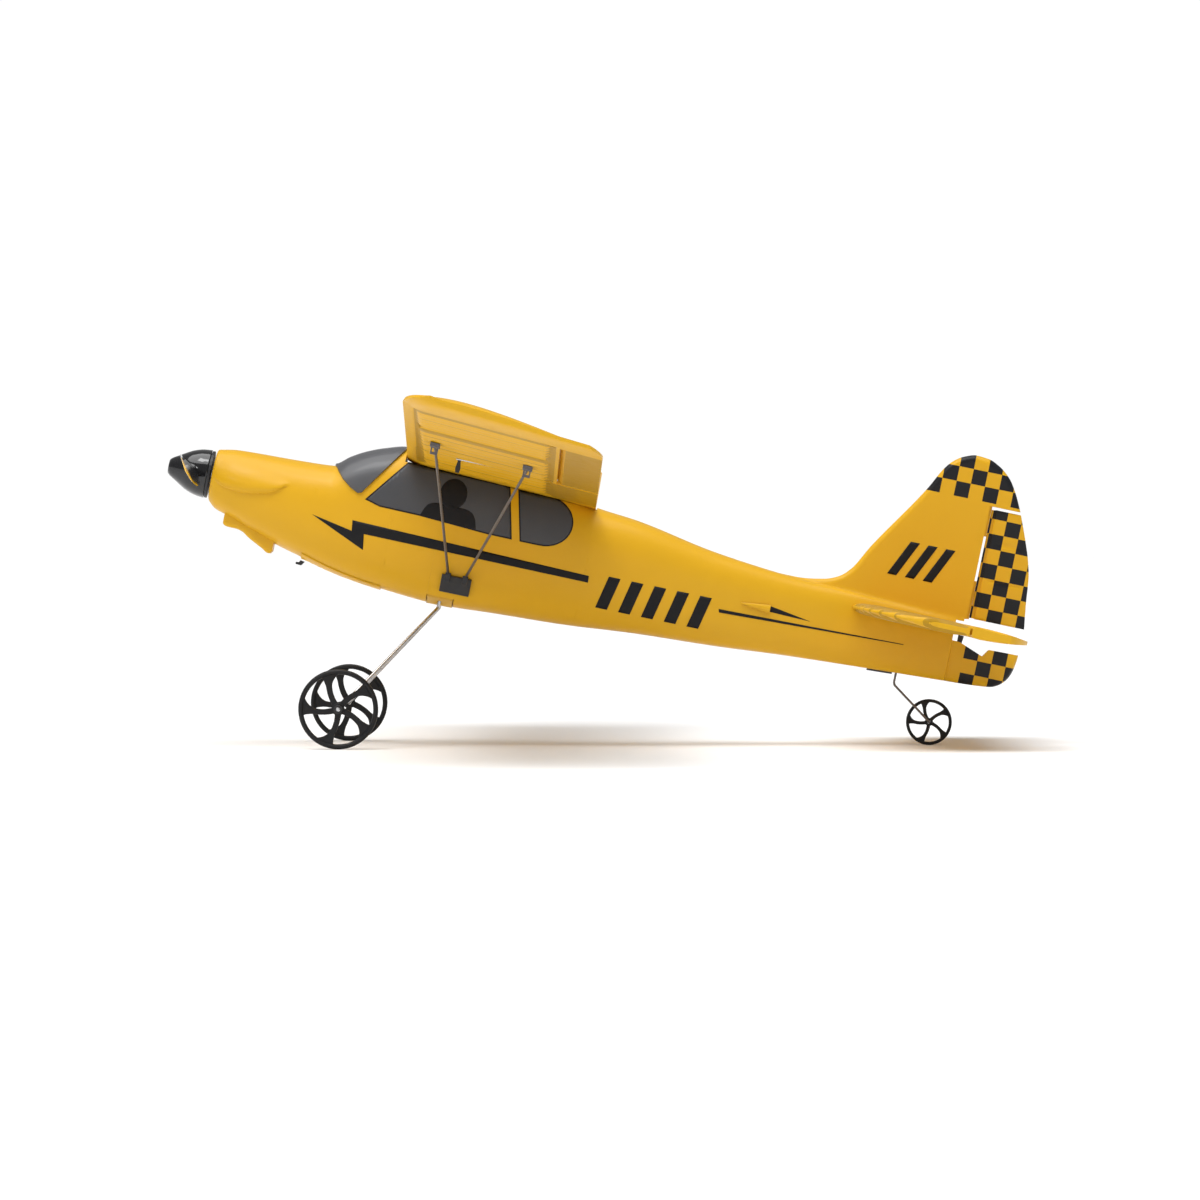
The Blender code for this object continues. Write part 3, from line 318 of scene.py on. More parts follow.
def foam(name, checks=None, shade=1.0):
    """Moulded bead foam, painted yellow, with printed checks where asked; shade below 1 darkens it into
    painted shade.
    """
    shader = Shader(name)
    tone = shader.stretch(shader.noise(38.0, 4.0), 0.0, 1.0)
    paint = shader.mix(tone, [c * shade for c in YELLOW], [c * shade for c in YELLOW_DEEP])
    if checks:
        in_body = shader.add("ShaderNodeMapping", vector_type="TEXTURE")
        shader.put(in_body.inputs["Vector"], shader.place)
        shader.fix(in_body, Location=BODY.translation, Rotation=(0.0, GROUND_ANGLE, 0.0), Scale=(MM, MM, MM))
        axes = shader.add("ShaderNodeSeparateXYZ")
        shader.put(axes.inputs[0], in_body.outputs["Vector"])
        x, z = axes.outputs["X"], axes.outputs["Z"]
        if checks == "rudder":
            mask = checker_mask(shader, x, z, CHECK_RUDDER)
        else:
            cap = shader.sum("MULTIPLY", checker_mask(shader, x, z, CHECK_CAP),
                             shader.sum("GREATER_THAN", z, CHECK_CAP[1]))
            low = shader.sum("MULTIPLY", checker_mask(shader, x, z, CHECK_HEEL),
                             shader.sum("MULTIPLY", shader.sum("LESS_THAN", z, CHECK_HEEL[1] + 1.0),
                                        shader.sum("GREATER_THAN", x, CHECK_HEEL[0])))
            mask = shader.sum("MAXIMUM", cap, low)
        paint = shader.mix(mask, paint, INK)
    shader.put(shader.surface.inputs["Base Color"], paint)
    shader.put(shader.surface.inputs["Roughness"], shader.stretch(shader.noise(210.0), 0.34, 0.48))
    shader.fix(shader.surface, Specular_IOR_Level=0.22, Coat_Weight=0.06, Coat_Roughness=0.12)
    shader.bump([(shader.beads(420.0), 0.16, 0.25), (shader.noise(1400.0), 0.10, 0.08)])
    return shader.material


def plastic(name, colour, roughness, grain=900.0, depth=0.05, coat=0.0, specular=0.5):
    """Moulded plastic with fine grain and slight change of tone."""
    shader = Shader(name)
    lighter = [min(1.0, c * 1.3 + 0.001) for c in colour]
    shader.put(shader.surface.inputs["Base Color"], shader.mix(shader.noise(60.0), colour, lighter))
    shader.put(shader.surface.inputs["Roughness"],
               shader.stretch(shader.noise(300.0), roughness * 0.8, roughness * 1.25))
    shader.fix(shader.surface, Specular_IOR_Level=specular, Coat_Weight=coat, Coat_Roughness=0.04)
    shader.bump([(shader.noise(grain), 0.25, depth)])
    return shader.material


def metal(name, colour, roughness):
    """Drawn wire and turned metal with fine scratches."""
    shader = Shader(name)
    darker = [c * 0.72 for c in colour]
    shader.put(shader.surface.inputs["Base Color"], shader.mix(shader.noise(160.0), colour, darker))
    shader.fix(shader.surface, Metallic=1.0)
    shader.put(shader.surface.inputs["Roughness"],
               shader.stretch(shader.noise(700.0), roughness * 0.7, roughness * 1.3))
    shader.bump([(shader.noise(1500.0), 0.2, 0.03)])
    return shader.material


FOAM = foam("foam_yellow")
FOAM_TAIL = foam("foam_yellow_tail_checks", "tail")
FOAM_RUDDER = foam("foam_yellow_rudder_checks", "rudder")
# Painted shade: a darker copy of the foam for recesses, rib steps and undersides.
FOAM_PAINTED_SHADE = foam("foam_yellow_painted_shade", None, 0.62)
PRINT_BLACK = plastic("print_black", (0.006, 0.006, 0.007), 0.5, 1200.0, 0.02, 0.0, 0.2)
PRINT_GREY = plastic("print_window_grey", (0.052, 0.054, 0.060), 0.42, 1200.0, 0.02, 0.0, 0.3)
WINDSHIELD = plastic("windshield_grey", (0.072, 0.073, 0.078), 0.36, 1200.0, 0.02, 0.12, 0.3)
YELLOW_PLASTIC = plastic("plastic_yellow", (0.52, 0.285, 0.008), 0.36)
BLACK = plastic("plastic_black", (0.010, 0.010, 0.012), 0.42)
WHEEL_BLACK = plastic("plastic_wheel", (0.006, 0.006, 0.007), 0.5, specular=0.3)
GLOSS = plastic("gloss_black", (0.004, 0.004, 0.005), 0.12, 700.0, 0.01, 0.55, 0.35)
TIP_YELLOW = plastic("tip_yellow", (0.82, 0.45, 0.02), 0.22, 900.0, 0.02, 0.6)
GREY = plastic("plastic_grey", (0.085, 0.088, 0.105), 0.42)
STRUT = metal("strut_wire", (0.20, 0.175, 0.16), 0.42)
WIRE = metal("steel_wire", (0.62, 0.62, 0.63), 0.26)
BRASS = metal("brass", (0.78, 0.56, 0.24), 0.3)
NYLON = plastic("white_nylon", (0.62, 0.61, 0.57), 0.45)
BOARD = plastic("circuit_board", (0.012, 0.095, 0.035), 0.38)
FOIL = plastic("battery_foil", (0.36, 0.37, 0.40), 0.32, 260.0, 0.12)


# ---------------------------------------------------------------- mesh helpers
def finish_mesh(name, shape, look, body, nodes=(), smooth_angle=38.0, extra_looks=()):
    """Turn a bmesh in body millimetres into a finished piece that rides on a body."""
    bmesh.ops.recalc_face_normals(shape, faces=shape.faces)
    for vertex in shape.verts:
        vertex.co = BODY @ (vertex.co * MM)
    mesh = bpy.data.meshes.new(name)
    shape.to_mesh(mesh)
    shape.free()
    for material in (look, *extra_looks):
        mesh.materials.append(material)
    mesh.shade_smooth()
    mesh.set_sharp_from_angle(angle=math.radians(smooth_angle))
    piece = bpy.data.objects.new(name, mesh)
    bpy.context.scene.collection.objects.link(piece)
    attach(piece, body)
    if nodes:
        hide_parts(*nodes)
    return piece


def add_loft(shape, rings, material=0):
    """Skin a row of equal closed rings and cap both ends."""
    rows = [[shape.verts.new(point) for point in ring] for ring in rings]
    count = len(rings[0])
    faces = []
    for row, following in zip(rows, rows[1:]):
        for index in range(count):
            after = (index + 1) % count
            faces.append(shape.faces.new((row[index], row[after], following[after], following[index])))
    faces += [shape.faces.new(rows[0]), shape.faces.new(rows[-1])]
    for face in faces:
        face.material_index = material
    return shape


def add_layers(shape, outer, inner):
    """Close the space between two equal grids of points."""
    grids = [[[shape.verts.new(point) for point in column] for column in layer] for layer in (outer, inner)]
    columns, rows = len(outer) - 1, len(outer[0]) - 1
    for grid in grids:
        for i in range(columns):
            for j in range(rows):
                shape.faces.new((grid[i][j], grid[i + 1][j], grid[i + 1][j + 1], grid[i][j + 1]))
    border = ([(i, 0) for i in range(columns)] + [(columns, j) for j in range(rows)]
              + [(i, rows) for i in range(columns, 0, -1)] + [(0, j) for j in range(rows, 0, -1)])
    for (i, j), (k, m) in zip(border, border[1:] + border[:1]):
        shape.faces.new((grids[0][i][j], grids[0][k][m], grids[1][k][m], grids[1][i][j]))
    return shape


def add_turned(shape, profile, segments=96, place=lambda along, a, b: (along, a, b)):
    """Revolve (along, radius) points; place maps (along, across, up) to the body frame."""
    rows = []
    for along, radius in profile:
        if radius == 0:
            rows.append([shape.verts.new(place(along, 0.0, 0.0))])
            continue
        turns = [2 * math.pi * step / segments for step in range(segments)]
        rows.append([shape.verts.new(place(along, radius * math.cos(turn), radius * math.sin(turn)))
                     for turn in turns])
    for row, following in zip(rows, rows[1:]):
        if len(row) == 1 and len(following) == 1:
            continue
        for index in range(segments):
            after = (index + 1) % segments
            corners = [row[index % len(row)], row[after % len(row)],
                       following[after % len(following)], following[index % len(following)]]
            shape.faces.new(list(dict.fromkeys(corners)))
    return shape


def rounded_path(points, radius, steps=6):
    """The same path with each corner turned into a short curve."""
    points = [Vector(point) for point in points]
    path = [points[0]]
    for before, corner, after in zip(points, points[1:], points[2:]):
        reach = min(radius, (before - corner).length * 0.45, (after - corner).length * 0.45)
        start = corner + (before - corner).normalized() * reach
        end = corner + (after - corner).normalized() * reach
        for step in range(steps + 1):
            t = step / steps
            path.append(start * (1 - t) ** 2 + corner * 2 * t * (1 - t) + end * t ** 2)
    return path + [points[-1]]


def add_wire(shape, points, radius, sides=14, bend=2.0):
    """A round wire with rounded bends."""
    path = rounded_path(points, bend) if len(points) > 2 else [Vector(point) for point in points]
    rings = []
    across = (path[1] - path[0]).orthogonal().normalized()
    for index, point in enumerate(path):
        along = (path[min(index + 1, len(path) - 1)] - path[max(index - 1, 0)]).normalized()
        across = (across - along * across.dot(along)).normalized()
        beside = along.cross(across)
        turns = [2 * math.pi * step / sides for step in range(sides)]
        rings.append([point + (across * math.cos(a) + beside * math.sin(a)) * radius for a in turns])
    return add_loft(shape, rings)


def refine(node, look, body, width=0.22, segments=2):
    """A copy of a small CAD node with its edges rounded over, which stands for it."""
    shape = bmesh.new()
    shape.from_mesh(frame["nodes"][node].data)
    bmesh.ops.transform(shape, matrix=BODY.inverted(), verts=shape.verts)
    bmesh.ops.scale(shape, vec=(1 / MM, 1 / MM, 1 / MM), verts=shape.verts)
    bmesh.ops.remove_doubles(shape, verts=shape.verts, dist=0.002)
    bmesh.ops.dissolve_limit(shape, angle_limit=math.radians(1.0), verts=shape.verts, edges=shape.edges)
    piece = finish_mesh(node + "_finished", shape, look, body, (node,), 40.0)
    bevel = piece.modifiers.new("rounded_edges", "BEVEL")
    bevel.width = width * MM
    bevel.segments = segments
    bevel.limit_method = "ANGLE"
    bevel.angle_limit = math.radians(28)
    return piece


# ---------------------------------------------------------------- fuselage
def skin_column(x, top, bottom, rows, section=None):
    """Evenly spaced (y, z) points down one side of the moulded skin."""
    section = section or fuselage_section(x)
    samples = 6 * rows
    fine = []
    for step in range(samples + 1):
        z = (top + bottom) / 2 + (top - bottom) / 2 * math.cos(math.pi * step / samples)
        fine.append((skin_y(x, z, section), z))
    lengths = [0.0]
    for a, b in zip(fine, fine[1:]):
        lengths.append(lengths[-1] + math.hypot(b[0] - a[0], b[1] - a[1]))
    column, at = [], 0
    for row in range(rows + 1):
        goal = lengths[-1] * row / rows
        while at < samples - 1 and lengths[at + 1] < goal:
            at += 1
        part = (goal - lengths[at]) / max(1e-9, lengths[at + 1] - lengths[at])
        column.append(tuple(fine[at][k] + (fine[at + 1][k] - fine[at][k]) * part for k in (0, 1)))
    return column


def limit_at(x, half_width, upper):
    """Height where the fuselage skin is as wide as half_width, above or below its middle."""
    middle, height, width, power = fuselage_section(x)
    rise = height * (1 - min(1.0, half_width / width) ** power) ** (1 / power)
    return middle + rise if upper else middle - rise


def main_limits(x):
    """Top and bottom of the main skin at x, cut back for the wing, the battery and the gear."""
    top = max(smooth_value(TOP_LINE, x), smooth_value(FIN_EDGE, x) if x > 262 else -99)
    bottom = smooth_value(BELLY_LINE, x)
    if SADDLE[0] < x < SADDLE[1]:
        top = min(top - 0.01, wing_under(x, 18) - SEAT_GAP)
    for start, end, half_width in (BATTERY_MOUTH, GEAR_SLOT):
        if start < x < end:
            bottom = limit_at(x, half_width, False)
    return top, bottom


def main_stations():
    edges = (*SADDLE, *BATTERY_MOUTH[:2], *GEAR_SLOT[:2])
    steps = [value for edge in edges for value in (edge - 0.01, edge + 0.01)]
    plain = spread(1.0, 62.0, 1.0) + spread(63.5, 258.0, 1.75) + spread(259.0, 300.0, 1.2)
    plain += spread(300.7, NOTCH_X, 0.75)
    return sorted(plain + steps)


def fuselage_half(side, word):
    """One moulded half: hollow main skin, fin behind the notch, fin cap and heel."""
    rows = 84
    outer, inner = [], []
    mouth = [(math.cos(a) * 3.4, math.sin(a) * 3.4)
             for a in [math.pi / 2 - math.pi * row / rows for row in range(rows + 1)]]
    outer.append([(0.0, side * max(PARTING, y), z) for y, z in mouth])
    inner.append([(2.2, side * max(PARTING, y), z) for y, z in mouth])
    for x, inset in ((0.0, 1.1), (0.12, 0.55), (0.45, 0.12)):
        section = fuselage_section(x, inset)
        column = skin_column(x, section[0] + section[1], section[0] - section[1], rows, section)
        outer.append([(x, side * max(PARTING, y), z) for y, z in column])
        inner.append([(2.25 + x * 0.1, side * max(PARTING, y * 0.7), z * 0.7) for y, z in column])
    for x in main_stations():
        top, bottom = main_limits(x)
        column = skin_column(x, top, bottom, rows)
        wall = smooth_value([(0, 2.2), (20, 2.2), (40, FOAM_WALL), (300, FOAM_WALL), (362, 1.8)], x)
        hollow = fuselage_section(x, wall)
        outer.append([(x, side * max(PARTING, y), z) for y, z in column])
        inner.append([(max(x, 2.4), side * max(PARTING, min(section_y(hollow, z), skin_y(x, z) - 0.2)), z)
                      for _, z in column])
    shape = add_layers(bmesh.new(), outer, inner)

    def solid_strip(stations, top_of, bottom_of, strip_rows, slot_half=0.0):
        skin = [[(x, side * max(PARTING, y), z)
                 for y, z in skin_column(x, top_of(x), bottom_of(x), strip_rows)] for x in stations]
        core = [[(x, side * max(PARTING * 0.5, min(slot_half, abs(y) - 0.4)), z) for x, y, z in column]
                for column in skin]
        add_layers(shape, skin, core)

    def fin_top(x):
        return smooth_value(FIN_EDGE, x)

    def heel_top(x):
        edge = [(NOTCH_X, -4.6), (NOTCH_END_X, -4.8), (374.4, -9.4), (376.8, -5.6), (391.2, -5.4)]
        for start, end in zip(edge, edge[1:]):
            if x <= end[0]:
                return start[1] + (end[1] - start[1]) * (x - start[0]) / (end[0] - start[0])
        return edge[-1][1]

    solid_strip(spread(NOTCH_X, NOTCH_END_X, 0.6), fin_top, lambda x: 5.2, 72)
    solid_strip(spread(NOTCH_END_X, FIN_REAR_X, 0.45), fin_top, lambda x: 6.4, 72)
    solid_strip(spread(FIN_REAR_X, 378.0, 0.6), fin_top, lambda x: FIN_CAP_Z, 26)
    solid_strip(spread(NOTCH_X, 368.0, 0.6), heel_top, lambda x: smooth_value(HEEL_EDGE, x), 30, 1.7)
    solid_strip(spread(368.0, 390.9, 0.6), heel_top, lambda x: smooth_value(HEEL_EDGE, x), 30)
    for low, high in ((6.6, 25.0), (46.6, FIN_CAP_Z + 0.5)):
        strip = [(FIN_REAR_X - 0.4, low), (RUDDER_HINGE_X - 0.5, low), (RUDDER_HINGE_X - 0.5, high),
                 (FIN_REAR_X - 0.4, high)]
        add_loft(shape, [[(x, side * y, z) for x, z in strip] for y in (PARTING * 0.5, 0.9)])
    node = f"fuselage_{word}_half"
    return finish_mesh(node + "_skin", shape, FOAM_TAIL, "airframe", (node,), 34.0)


# ---------------------------------------------------------------- stickers on the fuselage side
def inset_outline(points, distance):
    """The outline moved inwards by a distance, with its corners kept."""
    area = sum(a[0] * b[1] - b[0] * a[1] for a, b in zip(points, points[1:] + points[:1]))
    turn = 1 if area > 0 else -1
    moved = []
    for index, corner in enumerate(points):
        before = Vector(corner) - Vector(points[index - 1])
        after = Vector(points[(index + 1) % len(points)]) - Vector(corner)
        normals = [Vector((-edge.y, edge.x)).normalized() * turn for edge in (before, after)]
        middle = (normals[0] + normals[1]).normalized()
        reach = distance / max(0.45, middle.dot(normals[0]))
        moved.append((corner[0] + middle.x * reach, corner[1] + middle.y * reach))
    return moved


def arc(centre, radii, start, end, steps=14):
    angles = [math.radians(start + (end - start) * step / steps) for step in range(steps + 1)]
    return [(centre[0] + radii[0] * math.cos(a), centre[1] + radii[1] * math.sin(a)) for a in angles]


def sticker(name, outlines, side, look, lift=0.12, cell=1.5):
    """Film laid over the fuselage side, from (x, z) outlines: print, and painted shade at the rod slot."""
    shape = bmesh.new()
    for outline in outlines:
        shape.faces.new([shape.verts.new((x, 0, z)) for x, z in outline])
    shape.normal_update()
    bmesh.ops.triangulate(shape, faces=shape.faces)
    for axis, normal in ((0, (1, 0, 0)), (2, (0, 0, 1))):
        values = [vertex.co[axis] for vertex in shape.verts]
        for at in spread(min(values), max(values), cell)[1:-1]:
            place = [0.0, 0.0, 0.0]
            place[axis] = at
            everything = shape.verts[:] + shape.edges[:] + shape.faces[:]
            bmesh.ops.bisect_plane(shape, geom=everything, dist=1e-5, plane_co=place, plane_no=normal)
    bmesh.ops.remove_doubles(shape, verts=shape.verts, dist=1e-4)
    for vertex in shape.verts:
        vertex.co.y = side * (skin_y(vertex.co.x, vertex.co.z) + lift)
    piece = finish_mesh(name, shape, look, "airframe", (), 60.0)
    film = piece.modifiers.new("film", "SOLIDIFY")
    film.thickness = 0.05 * MM
    film.offset = 0.0
    return piece


FRONT_WINDOW = [(73.7, 3.6), (90, 25.0), (139.4, 23.4), (145.1, -0.8), (133.2, -0.7), (118.2, 0.2),
                (99.7, 1.3), (81.2, 1.6)]
REAR_WINDOW = [(148.9, -0.9), (143.3, 22.8)] + arc((158.6, 11.0), (13.4, 11.9), 90, -90, 20)
TRIM_FLASH = [(50.7, -8.4), (70.6, -12.2), (69.9, -7.2), (184.1, -10.1), (184.3, -13.3), (76.5, -12.5),
              (77.6, -20.0)]
WINDOW_FRAME = 0.65
# Painted shade: black film where the pushrod's exit slot lies in shadow.
PUSHROD_SLOT_SHADE = [(270.5, -6.4), (270.5, -9.2), (291.0, -9.8)]
TAIL_LINE = [(247.2, -12.8), (247.6, -14.4), (336.4, -11.6), (336.4, -11.3)]


def slanted_bars(start, count, pitch, width, height, lean):
    """Equal plain bars in a row, which stand where a model carries its markings."""
    return [[(start[0] + pitch * n, start[1]), (start[0] + pitch * n + width, start[1]),
             (start[0] + pitch * n + width + lean, start[1] + height),
             (start[0] + pitch * n + lean, start[1] + height)] for n in range(count)]


def plain_pilot():
    """A plain bust seen from behind: a round head over sloping shoulders."""
    shoulders = ([(100.5, 1.6), (101.8, 5.2)] + arc((108.5, 5.6), (6.2, 3.4), 170, 100, 6)
                 + arc((119.5, 5.4), (6.2, 3.4), 80, 10, 6) + [(126.4, 4.8), (127.6, 0.4)])
    return [shoulders, arc((114.0, 14.6), (6.4, 7.2), 0, 342, 22)]


def side_prints_and_painted_shade(side, word):
    for name, outline in (("front", FRONT_WINDOW), ("rear", REAR_WINDOW)):
        sticker(f"{word}_{name}_window_frame", [outline], side, PRINT_BLACK, 0.10)
        pane = inset_outline(outline, WINDOW_FRAME)
        sticker(f"{word}_{name}_window", [pane], side, PRINT_GREY, 0.16)
    sticker(f"{word}_pilot", plain_pilot(), side, PRINT_BLACK, 0.22)
    sticker(f"{word}_trim_flash", [TRIM_FLASH], side, PRINT_BLACK)
    sticker(f"{word}_tail_line", [TAIL_LINE], side, PRINT_BLACK)
    # Painted shade of the pushrod slot, in black film.
    sticker(f"{word}_rod_slot_painted_shade", [PUSHROD_SLOT_SHADE], side, PRINT_BLACK, 0.08)
    sticker(f"{word}_side_bars", slanted_bars((190.0, -24.0), 5, 11.0, 5.6, 15.5, 3.4), side, PRINT_BLACK)
    sticker(f"{word}_fin_bars", slanted_bars((322.0, 20.0), 3, 8.6, 4.4, 17.0, 8.0), side, PRINT_BLACK,
            0.12)


def windshield():
    """Dark moulded windshield wrapped over the cabin front."""
    front = [(55.9, 16.1), (57.1, 15.4), (59.3, 12.9), (61.4, 10.7), (65.8, 7.5), (69.8, 5.6)]
    rear_top, rear_low = (88.0, 30.6), (71.4, 6.2)
    columns, half_rows = 26, 48

    def crown_angle(x, z):
        middle, height, _, power = fuselage_section(x)
        reach = max(0.0, min(1.0, (z - middle) / height))
        return math.asin(reach ** (power / 2))

    def place(u, across, lift):
        part = abs(across)
        slot = min(len(front) - 2, int(part * (len(front) - 1)))
        t = part * (len(front) - 1) - slot
        front_x = front[slot][0] + (front[slot + 1][0] - front[slot][0]) * t
        front_z = front[slot][1] + (front[slot + 1][1] - front[slot][1]) * t
        rear_x = rear_top[0] + (rear_low[0] - rear_top[0]) * part
        rear_z = rear_top[1] + (rear_low[1] - rear_top[1]) * part
        front_angle = math.pi / 2 if part == 0 else crown_angle(front_x, front_z)
        rear_angle = math.pi / 2 if part == 0 else crown_angle(rear_x, rear_z)
        x = front_x + (rear_x - front_x) * u
        angle = front_angle + (rear_angle - front_angle) * u
        middle, height, width, power = fuselage_section(x, -lift)
        y = width * math.cos(angle) ** (2 / power) if part else 0.0
        return x, math.copysign(y, across), middle + height * math.sin(angle) ** (2 / power)

    layers = [[[place(i / columns, j / half_rows, lift) for j in range(-half_rows, half_rows + 1)]
               for i in range(columns + 1)] for lift in (1.1, 0.3)]
    shape = add_layers(bmesh.new(), *layers)
    finish_mesh("windshield_film", shape, WINDSHIELD, "airframe", ("windshield",))


def chin_scoop():
    """Moulded intake hung under the cowl with rounded lower edges."""
    depth_line = [(9.4, -21.4), (10.4, -22.2), (12.1, -22.5), (16.1, -22.6), (19.3, -23.4), (22.1, -25.2),
                  (30.2, -29.3), (33.0, -30.8), (34.4, -30.7), (35.0, -29.6)]
    rings = []
    for x in spread(9.4, 35.0, 0.8):
        bottom = smooth_value(depth_line, x)
        width = 5.6 + 1.4 * ease(18, 26, x)
        upper = [(x, width * n / 4, limit_at(x, abs(width * n / 4), False) + 0.6) for n in range(-4, 5)]
        corner = arc((width - 2.0, bottom + 2.0), (2.0, 2.0), 0, -90, 6)
        lower = [(x, y, z) for y, z in corner] + [(x, -y, z) for y, z in reversed(corner)]
        rings.append(upper + lower)
    finish_mesh("chin_scoop_skin", add_loft(bmesh.new(), rings), FOAM, "airframe", ("chin_scoop",))


def belly_z(x, y):
    """Height of the fuselage's underside."""
    middle, height, width, power = fuselage_section(x)
    return middle - height * (1 - min(1.0, abs(y) / width) ** power) ** (1 / power)


def belly_plate(name, span_x, half_width, depths, look, body, nodes):
    """Thin plate that follows the belly."""
    layers = [[[(x, y, belly_z(x, y) - depth) for y in spread(-half_width, half_width, 1.0)]
               for x in spread(*span_x, 1.5)] for depth in depths]
    finish_mesh(name, add_layers(bmesh.new(), *layers), look, body, nodes)


# ---------------------------------------------------------------- wing
RIB_FIELDS = ((28.0, 194.0, 11), (222.0, 279.0, 5))
# Underside faces pressed in deeper than this get painted shade.
PAINTED_SHADE_DEPTH = 0.3
ROD_GROOVE = (104.2, 106.8)
RIB_X = (97.0, 157.0)
BLANK_STRIP = (195.0, 221.0)


def underside_relief(x, y):
    """How far the moulded underside is pressed in (positive) at a place."""
    reach = abs(y)
    lead_x, _ = wing_leading(y)
    field = ease(lead_x + 4, lead_x + 6.5, x) * (1 - ease(288, 291, reach)) * ease(26, 29, reach)
    depth = 0.7 * field * (1 - ease(158.2, 159.8, x))
    inside = ease(RIB_X[0], RIB_X[0] + 2, x) * (1 - ease(RIB_X[1] - 2, RIB_X[1], x))
    for start, end, count in RIB_FIELDS:
        if start < reach < end:
            wave = 0.5 - 0.5 * math.cos(2 * math.pi * (reach - start) / (end - start) * count)
            depth -= 1.3 * inside * wave ** 1.6
    if BLANK_STRIP[0] < reach < BLANK_STRIP[1]:
        start, end = BLANK_STRIP
        edge = ease(start, start + 1.5, reach) * (1 - ease(end - 1.5, end, reach))
        depth += 1.5 * inside * edge
    if ROD_GROOVE[0] < reach < ROD_GROOVE[1] and x > 118:
        depth = 2.4
    return depth


def wing_point(y, x, upper):
    """A point of the wing's skin, rounded at the nose and lifted at the tips."""
    reach = abs(y)
    over = max(0.0, (reach - (SPAN / 2 - WING_TIP_RADIUS)) / WING_TIP_RADIUS)
    shrink = math.sqrt(max(0.0, 1 - over ** 2))
    lead_x = wing_leading(y)[0] + 12.0 * (1 - shrink)
    trail_x = wing_trailing(y)[0] - 7.0 * (1 - shrink)
    part = max(0.0, min(1.0, (x - lead_x) / (trail_x - lead_x)))
    thickness = WING_THICKNESS * (1 - 0.16 * reach / (SPAN / 2)) * (0.25 + 0.75 * shrink)
    base = wing_under(x, y) + WING_TIP_RISE * (1 - shrink) * (1 - 0.5 * part)
    base += 2.2 * max(0.0, 1 - part / 0.12) ** 2
    if upper:
        return x, y, base + max(1.3 * ease(0, 0.06, part), thickness * airfoil_height(part))
    return x, y, base + underside_relief(x, y) * (1 if over == 0 else 0)


def wing_stations():
    body = spread(0.6, SPAN / 2 - WING_TIP_RADIUS, 1.3)
    body += [edge + step for edge in ROD_GROOVE for step in (-0.05, 0.05)]
    steps = [AILERON_FROM - 0.41, AILERON_FROM - 0.39, AILERON_TO + 0.39, AILERON_TO + 0.41]
    tip = [SPAN / 2 - WING_TIP_RADIUS * (1 - math.sin(math.radians(a))) for a in range(5, 86, 5)]
    half = sorted(body + steps + tip)
    return [-y for y in reversed(half)] + half


def wing():
    """One-piece wing: smooth top, moulded ribs underneath, bays cut out for the ailerons."""
    rows = 64
    upper, lower = [], []
    for y in wing_stations():
        reach = abs(y)
        over = max(0.0, (reach - (SPAN / 2 - WING_TIP_RADIUS)) / WING_TIP_RADIUS)
        shrink = math.sqrt(max(0.0, 1 - over ** 2))
        lead_x = wing_leading(y)[0] + 12.0 * (1 - shrink)
        end_x = wing_trailing(y)[0] - 7.0 * (1 - shrink)
        if AILERON_FROM - 0.4 < reach < AILERON_TO + 0.4:
            end_x = AILERON_HINGE_X - AILERON_NOSE - 0.08
        xs = []
        for row in range(rows + 1):
            part = row / rows
            xs.append(lead_x + (end_x - lead_x) * (part ** 1.7 * 0.55 + part * 0.45))
        upper.append([wing_point(y, x, True) for x in xs])
        lower.append([wing_point(y, x, False) for x in xs])
    shape = add_layers(bmesh.new(), upper, lower)
    # Painted shade: the darkened foam goes on the underside behind the inboard trailing edge and in the
    # deeper recesses.
    for face in shape.faces:
        middle = face.calc_center_median()
        under = wing_under(middle.x, middle.y)
        if middle.x > 160 and 25 < abs(middle.y) < AILERON_FROM and middle.z < under + 0.3:
            face.material_index = 1
        if middle.z < under + 1.6 and underside_relief(middle.x, middle.y) > PAINTED_SHADE_DEPTH:
            face.material_index = 1
    finish_mesh("wing_skin", shape, FOAM, "airframe", ("wing",), 40.0, (FOAM_PAINTED_SHADE,))


def aileron(word, side):
    """Aileron with a round nose about its hinge line and painted shade on its lower panel."""
    rings = []
    for y in spread(AILERON_FROM, AILERON_TO, 2.0):
        lead_x, _ = wing_leading(y)
        trail_x, _ = wing_trailing(y)

        def top(x):
            thickness = WING_THICKNESS * (1 - 0.16 * y / (SPAN / 2))
            return wing_under(x, y) + max(1.3, thickness * airfoil_height((x - lead_x) / (trail_x - lead_x)))

        hinge = (AILERON_HINGE_X, wing_under(AILERON_HINGE_X, y) + AILERON_HINGE_RISE)
        nose = arc(hinge, (AILERON_NOSE, AILERON_NOSE), 235, 70, 8)
        ring = [(x, side * y, z) for x, z in nose]
        ring += [(x, side * y, top(x)) for x in [162.6 + (trail_x - 162.6) * n / 8 for n in range(9)]]
        ring += [(x, side * y, wing_under(x, y) + 0.4)
                 for x in [trail_x + (163.6 - trail_x) * n / 8 for n in range(9)]]
        rings.append(ring)
    shape = add_loft(bmesh.new(), rings)
    # Painted shade: the underside faces get the darkened foam.
    for face in shape.faces:
        middle = face.calc_center_median()
        if middle.z < wing_under(middle.x, middle.y) + 0.45:
            face.material_index = 1
    finish_mesh(word + "_aileron_skin", shape, FOAM, word + "_aileron_body", (word + "_aileron",),
                30.0, (FOAM_PAINTED_SHADE,))


# ---------------------------------------------------------------- tail
def tail_rib(y):
    """Moulded rib that rises slowly outboard and drops in a short step."""
    phase = (abs(y) % TAIL_RIB_PITCH) / TAIL_RIB_PITCH
    return phase / 0.88 if phase < 0.88 else (1 - phase) / 0.12


